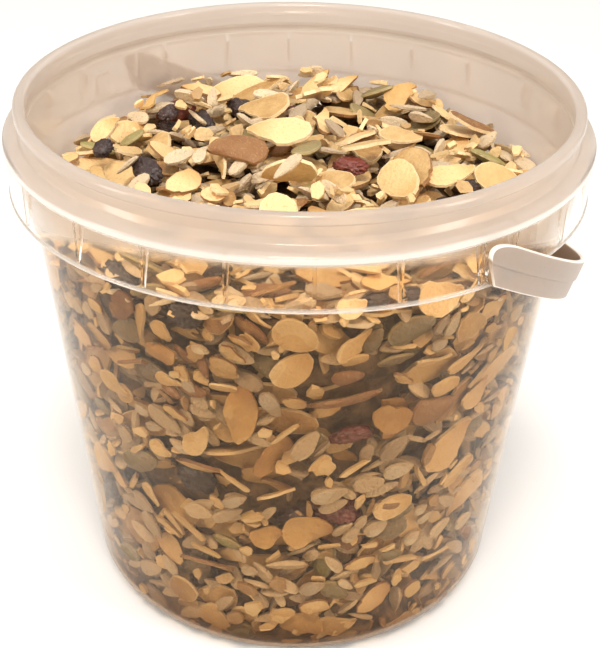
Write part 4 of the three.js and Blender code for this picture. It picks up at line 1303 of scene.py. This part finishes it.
plateRings = {
    "slice": [(0, 1, 0), (0.6, 1, 0.3), (1, 0.8, 1), (1, -0.8, 1), (0.6, -1, 0.3), (0, -1, 0)],
    "cap": [(0, 1, 0), (0.7, 1, 0), (1, 0.7, 1), (0.97, -0.6, 1), (0.6, -2.1, 1), (0, -2.8, 1)],
    "flake": [(0, 0.4, 0), (0.55, 0.5, 0.2), (1, 0.4, 0.7), (1, -0.5, 0.7), (0.6, -0.5, 0.3),
              (0, -0.5, 0)],
    "seed": [(0, 1.5, 0), (0.5, 1.35, 0), (0.86, 0.7, 0.6), (1, 0.3, 1), (1, -0.3, 1),
             (0.86, -0.7, 0.6), (0.5, -1.2, 0), (0, -1.35, 0)],
}
almondCuts = (0, 2, 1, 2, 1, 0, 3, 2, 1, 1, 3, 2, 0, 1)
almondCurls = (0.7, -0.5, 0.2, 1.1, 0.3, 0.0, 0.5, 1.6, -0.9, 0.4, 0.2, 0.8, 0.3, 0.5)


# each of these makes the shape of one number
def almondShape(i, half):
    # whole slices, broken ones, some with their skin at the rim, and caps with it underneath
    cap = i >= 12
    return plateShape(
        f"almond{i:02d}", half, 15, almondCurls[i], 0.45, almondCuts[i], 40 + i,
        plateRings["cap" if cap else "slice"], 0.22, 0.045 + 0.03 * (i % 4),
        1 if cap or i % 3 == 1 else 0, cap,
    )


def flakeShape(i, half):
    thin = (half[0], half[1], half[2] * 0.55)
    return plateShape(f"flake{i}", thin, 16, 1.6 - i * 0.4, 1.5, 1 + i % 2, 70 + i,
                      plateRings["flake"], 0.1, 0.1)


def pumpkinShape(i, half):
    return plateShape(f"pumpkin{i}", half, 14, 0.2 * i - 0.4, 0.1, 0, 90 + i,
                      plateRings["seed"], 0.3, 0.02)


def kernelShape(i, half):
    return dropShape(f"kernel{i}", half, 8, 6, 110 + i)


def fruitShape(i, half):
    return wrinkledShape(f"fruit{i}", half, 4, 3 + i, 1.0)


def chipShape(i, half):
    return shardShape(f"chip{i:02d}", half, 150 + i, i >= kinds["chip"]["shapes"] - 2)


# muesli: materials
foodLook = {
    "deepTint": (0.31, 0.21, 0.07),  # pieces packed against the wall get less light
    "deepAt": 2.0,
    "cloud": (7.0, 0.68),  # detail and roughness
    "endShare": 0.55,
    "endAt": (0.72, 1.25, 0, 0.85),
    "edgeMost": 0.8,
    "speckle": (1400.0, 2.0),
    "speckleAt": (0.6, 0.72, 0, 0.6),
    "bump": (1.0, 0.0006),
}


def foodMaterial(name, stops, toneShare, noiseScale, roughness, bumpSize, edgeColour=None,
                 edgeFrom=0.85, skinColour=None, endColour=None, speckle=None, gloss=0.35):
    # colour by each piece's own tone, clouded by noise, with its own rim, skin or end
    look = foodLook
    material, tree = startMaterial(name)
    blend = addNode(tree, "ShaderNodeMix", {
        "Factor": toneShare, "A": objectNoise(tree, noiseScale, *look["cloud"]),
        "B": markOf(tree, "tone"),
    }, data_type="FLOAT").outputs["Result"]
    colour = colourRamp(tree, blend, stops)
    if endColour:
        toast = combine(tree, "MULTIPLY_ADD", markOf(tree, "endward"), look["endShare"], blend)
        colour = mixColour(tree, spread(tree, toast, *look["endAt"]), colour, endColour)
    if edgeColour:
        # the rim takes the skin's colour where there is skin, else the edge colour; the almonds' pale
        # edge colour is painted highlight
        rimColour = mixColour(tree, markOf(tree, "skin"), edgeColour, skinColour or edgeColour)
        rim = spread(tree, markOf(tree, "edge"), edgeFrom, 1, 0, look["edgeMost"])
        colour = mixColour(tree, rim, colour, rimColour)
    if speckle:
        dots = spread(tree, objectNoise(tree, *look["speckle"]), *look["speckleAt"])
        colour = mixColour(tree, dots, colour, speckle)
    # painted shade: a piece's shade mark darkens its colour
    deep = spread(tree, markOf(tree, "shade"), 0, look["deepAt"])
    body = addNode(tree, "ShaderNodeBsdfPrincipled", {
        "Base Color": mixColour(tree, deep, colour, look["deepTint"], "MULTIPLY"),
        "Roughness": roughness, "Specular IOR Level": gloss,
        "Normal": bumpNormal(tree, objectNoise(tree, bumpSize, 4.0), *look["bump"]),
    })
    endMaterial(tree, body.outputs["BSDF"])
    return material


finishes = {
    "almond": {
        "stops": [(0.2, (0.25, 0.115, 0.045)), (0.3, (0.46, 0.26, 0.09)), (0.46, (0.67, 0.45, 0.20)),
                  (0.62, (0.82, 0.56, 0.26)), (0.82, (0.90, 0.64, 0.33))],
        "toneShare": 0.63, "noiseScale": 210, "roughness": 0.5, "bumpSize": 900,
        "speckle": (0.58, 0.36, 0.15),
        # pale rim: painted highlight where the cut edge catches the light; the skin colour is the real
        # brown skin
        "endColour": (0.55, 0.29, 0.08), "edgeColour": (0.90, 0.70, 0.42), "edgeFrom": 0.88,
        "skinColour": (0.24, 0.10, 0.04),
    },
    "flake": {
        "stops": [(0.2, (0.38, 0.17, 0.04)), (0.5, (0.60, 0.36, 0.13)), (0.82, (0.80, 0.54, 0.24))],
        "toneShare": 0.65, "noiseScale": 150, "roughness": 0.5, "bumpSize": 600,
        "endColour": (0.35, 0.14, 0.03),
    },
    "kernel": {
        "stops": [(0.2, (0.36, 0.255, 0.165)), (0.5, (0.57, 0.44, 0.29)), (0.82, (0.80, 0.63, 0.41))],
        "toneShare": 0.6, "noiseScale": 200, "roughness": 0.45, "bumpSize": 1100,
        "speckle": (0.27, 0.18, 0.10),
    },
    "pumpkin": {
        "stops": [(0.2, (0.17, 0.115, 0.05)), (0.55, (0.29, 0.215, 0.09)), (0.82, (0.33, 0.30, 0.10))],
        "toneShare": 0.65, "noiseScale": 130, "roughness": 0.36, "bumpSize": 800,
        "edgeColour": (0.44, 0.35, 0.17), "edgeFrom": 0.75, "gloss": 0.5,
    },
    "fruit": {
        "stops": [(0.25, (0.042, 0.024, 0.022)), (0.6, (0.075, 0.038, 0.034)),
                  (0.8, (0.20, 0.045, 0.03))],
        "toneShare": 0.8, "noiseScale": 200, "roughness": 0.38, "bumpSize": 700,
        "speckle": (0.20, 0.14, 0.12), "gloss": 0.5,
    },
    "chip": {
        "stops": [(0.2, (0.45, 0.27, 0.12)), (0.5, (0.72, 0.51, 0.25)), (0.82, (0.89, 0.645, 0.345))],
        "toneShare": 0.75, "noiseScale": 300, "roughness": 0.55, "bumpSize": 900,
    },
}
makers = {
    "almond": ("almondSlices", almondShape), "flake": ("toastedFlakes", flakeShape),
    "kernel": ("sunflowerKernels", kernelShape), "pumpkin": ("pumpkinSeeds", pumpkinShape),
    "fruit": ("driedFruit", fruitShape), "chip": ("nutChips", chipShape),
}

# core: the packed middle, in mm; its dark colour is painted shade, as in the gaps deep between pieces
core = {
    "sides": 150,
    "heightSteps": 34,
    "topSteps": 24,
    "underTop": 6.0,  # below the heap's level, before it follows the heap
    "nearFoot": 0.9,  # how far behind the wall it starts, easing out to the heap's wallDepth
    "easeFrom": 126,  # and back in over 8 mm, so that the edge of the heap has a bed
    "easeShare": 0.45,
    "heapedFrom": 60.0,
    "underLoose": 0.8,
    # painted shade: the dark colours of the gaps deep between pieces
    "stops": [(0.4, (0.05, 0.027, 0.012)), (0.62, (0.21, 0.125, 0.06))],
}


def clamped(share):
    return min(1, max(0, share))


def makeCore():
    # it reaches just into the wall at the base corner, and stays behind the loose pieces above
    floor = pail["wall"]
    near = core["nearFoot"]
    path = [(0, floor + 1.5 + 4), (20, floor + 5.5), (38, floor + 5.0)]
    for a in range(-78, -11, 6):
        back = near - 1.1 * clamped((-38 - a) / 20)
        path.append(next(cornerArc(floor + back, a, a, 1)))
    wallHigh = heap["level"] - core["underTop"]
    for k in range(1, core["heightSteps"] + 1):
        z = pail["cornerRadius"] + (wallHigh - pail["cornerRadius"]) * k / core["heightSteps"]
        ease = 1 - core["easeShare"] * clamped((z - core["easeFrom"]) / 8)
        back = near + (heap["wallDepth"] - near) * min(1, k / 4) * ease
        path.append((coneRadius(z) - pail["wall"] - back, z))
    rim = path[-1][0]
    path += [(rim * (1 - k / core["topSteps"]), wallHigh) for k in range(1, core["topSteps"])]
    path.append((0, wallHigh))
    points, faces = turnProfile(path, core["sides"])
    moved = []
    for x, y, z in points:
        p = Vector((x, y, z))
        share = max(0, (z - core["heapedFrom"]) / (wallHigh - core["heapedFrom"]))
        z += share * (heapLevel(x, y) - heap["topDepth"] - core["underLoose"] - wallHigh)
        lump = 1.3 * noise.noise(p * 0.16) + 0.8 * noise.noise(p * 0.4)
        out = 1 + (lump * 0.011 if z > 30 else -0.002)
        moved.append((x * out, y * out, z + lump * 0.7 * share))
    # painted shade: the core's dark colour
    material = foodMaterial("shadedCore", core["stops"], 0.0, 170, 0.8, 500)
    piece = addObject("muesliCore", makeMesh("muesliCore", moved, faces), material)
    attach(piece, "pail")
    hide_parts("muesli")
    print("core", len(piece.data.polygons), "faces")


def intoPlastic(p):
    # how far a point is past the pail's inner face, and the way back in
    r = math.hypot(p.x, p.y) or 1
    corner = pail["cornerRadius"]
    centre = pail["baseRadius"] - corner
    if p.z >= corner:
        return r - coneRadius(p.z) + pail["wall"], Vector((-p.x / r, -p.y / r, 0))
    if r > centre:
        back = Vector((-p.x * (r - centre) / r, -p.y * (r - centre) / r, corner - p.z))
        return back.length - corner + pail["wall"], back.normalized()
    rise = pail["floorRise"] if r < pail["footRadius"] else 0
    return pail["wall"] + rise - p.z, Vector((0, 0, 1))


def keepInside(kind, place):
    # moves a piece in where an end or side of it would come through the plastic
    point, turn, scale = Vector(place[0]), place[1], place[2]
    size = [h * s for h, s in zip(kinds[kind]["half"], scale)]
    for _ in range(3):
        worst = (0, None)
        for a in range(0, 360, 45):
            for side in (-1, 1):
                way = (math.cos(math.radians(a)), math.sin(math.radians(a)), side * 0.8)
                past, back = intoPlastic(point + turn @ Vector([w * h for w, h in zip(way, size)]))
                if past - heap["intoWall"] > worst[0]:
                    worst = (past - heap["intoWall"], back)
        if worst[0] < 0.05:
            break
        point = point + worst[1] * worst[0]
    return (tuple(point), *place[1:])


makeCore()
for number, (kind, places) in enumerate(laid.items()):
    places = [keepInside(kind, place) for place in places]
    name, maker = makers[kind]
    shapes = [maker(i, kinds[kind]["half"]) for i in range(kinds[kind]["shapes"])]
    material = foodMaterial(name, **finishes[kind])
    scattered = setOut(name, shapes, places, material, seed=20 + number)
    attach(scattered, "pail")
    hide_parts("muesli")


# stage, light and camera
def makeFloor():
    material, tree = startMaterial("paleFloor")
    body = addNode(tree, "ShaderNodeBsdfPrincipled", {
        "Base Color": (0.85, 0.855, 0.86, 1), "Roughness": 0.7,
    })
    endMaterial(tree, body.outputs["BSDF"])
    side = 3000
    points = [(-side, -side, 0), (side, -side, 0), (side, side, 0), (-side, side, 0)]
    floor = addObject("floor", makeMesh("floor", points, [(0, 1, 2, 3)]), material)


lights = {
    # sky colours from the floor's level up
    "sky": [(0.45, (0.60, 0.53, 0.46)), (0.56, (0.55, 0.49, 0.43)), (0.72, (0.80, 0.76, 0.71)),
            (1.0, (1, 0.98, 0.95))],
    "skyStrength": 0.95,
    # name: (place, aimed at, width, height, watts, colour)
    "key": ((0.55, -0.43, 1.45), (0, 0, 0.12), 0.35, 0.35, 16.0, (1.0, 0.94, 0.86)),
    "left": ((-0.35, -1.05, 0.45), (0, 0, 0.08), 0.25, 0.8, 6.0, (1.0, 0.97, 0.94)),
    "right": ((1.0, 0.40, 0.45), (0, 0, 0.08), 0.25, 0.8, 6.0, (1.0, 0.97, 0.94)),
}


def makeLights():
    world = bpy.data.worlds.new("studio")
    bpy.context.scene.world = world
    world.use_nodes = True
    tree = world.node_tree
    sky = tree.nodes["Background"]
    sky.inputs["Strength"].default_value = lights["skyStrength"]
    way = addNode(tree, "ShaderNodeTexCoord").outputs["Generated"]
    split = addNode(tree, "ShaderNodeSeparateXYZ", {"Vector": way})
    ramp = colourRamp(tree, spread(tree, split.outputs["Z"], -1, 1), lights["sky"])
    tree.links.new(ramp, sky.inputs["Color"])
    spreadNodes(tree, tree.nodes["World Output"])
    for name in ("key", "left", "right"):
        place, target, width, height, watts, colour = lights[name]
        lamp = bpy.data.lights.new(name, "AREA")
        lamp.shape = "RECTANGLE"
        lamp.size = width
        lamp.size_y = height
        lamp.energy = watts
        lamp.color = colour
        holder = bpy.data.objects.new(name, lamp)
        aim = Vector(target) - Vector(place)
        turn = aim.to_track_quat("-Z", "Y").to_matrix().to_4x4()
        holder.matrix_world = Matrix.Translation(place) @ turn
        bpy.context.scene.collection.objects.link(holder)


def makeCamera():
    right = Vector(view["right"]).normalized()
    up = Vector(view["up"]).normalized()
    turn = Matrix((right, up, right.cross(up))).transposed()
    lens = bpy.data.cameras.new("camera")
    lens.sensor_fit = "HORIZONTAL"
    lens.sensor_width = view["sensor"]
    lens.lens = view["lens"]
    lens.shift_x = view["shiftX"]
    lens.shift_y = view["shiftY"]
    lens.clip_start = 0.01
    camera = bpy.data.objects.new("camera", lens)
    camera.matrix_world = Matrix.Translation(view["place"]) @ turn.to_4x4()
    bpy.context.scene.collection.objects.link(camera)
    bpy.context.scene.camera = camera


makeFloor()
makeLights()
makeCamera()
bpy.context.scene.view_settings.view_transform = "Standard"

print("scene made")
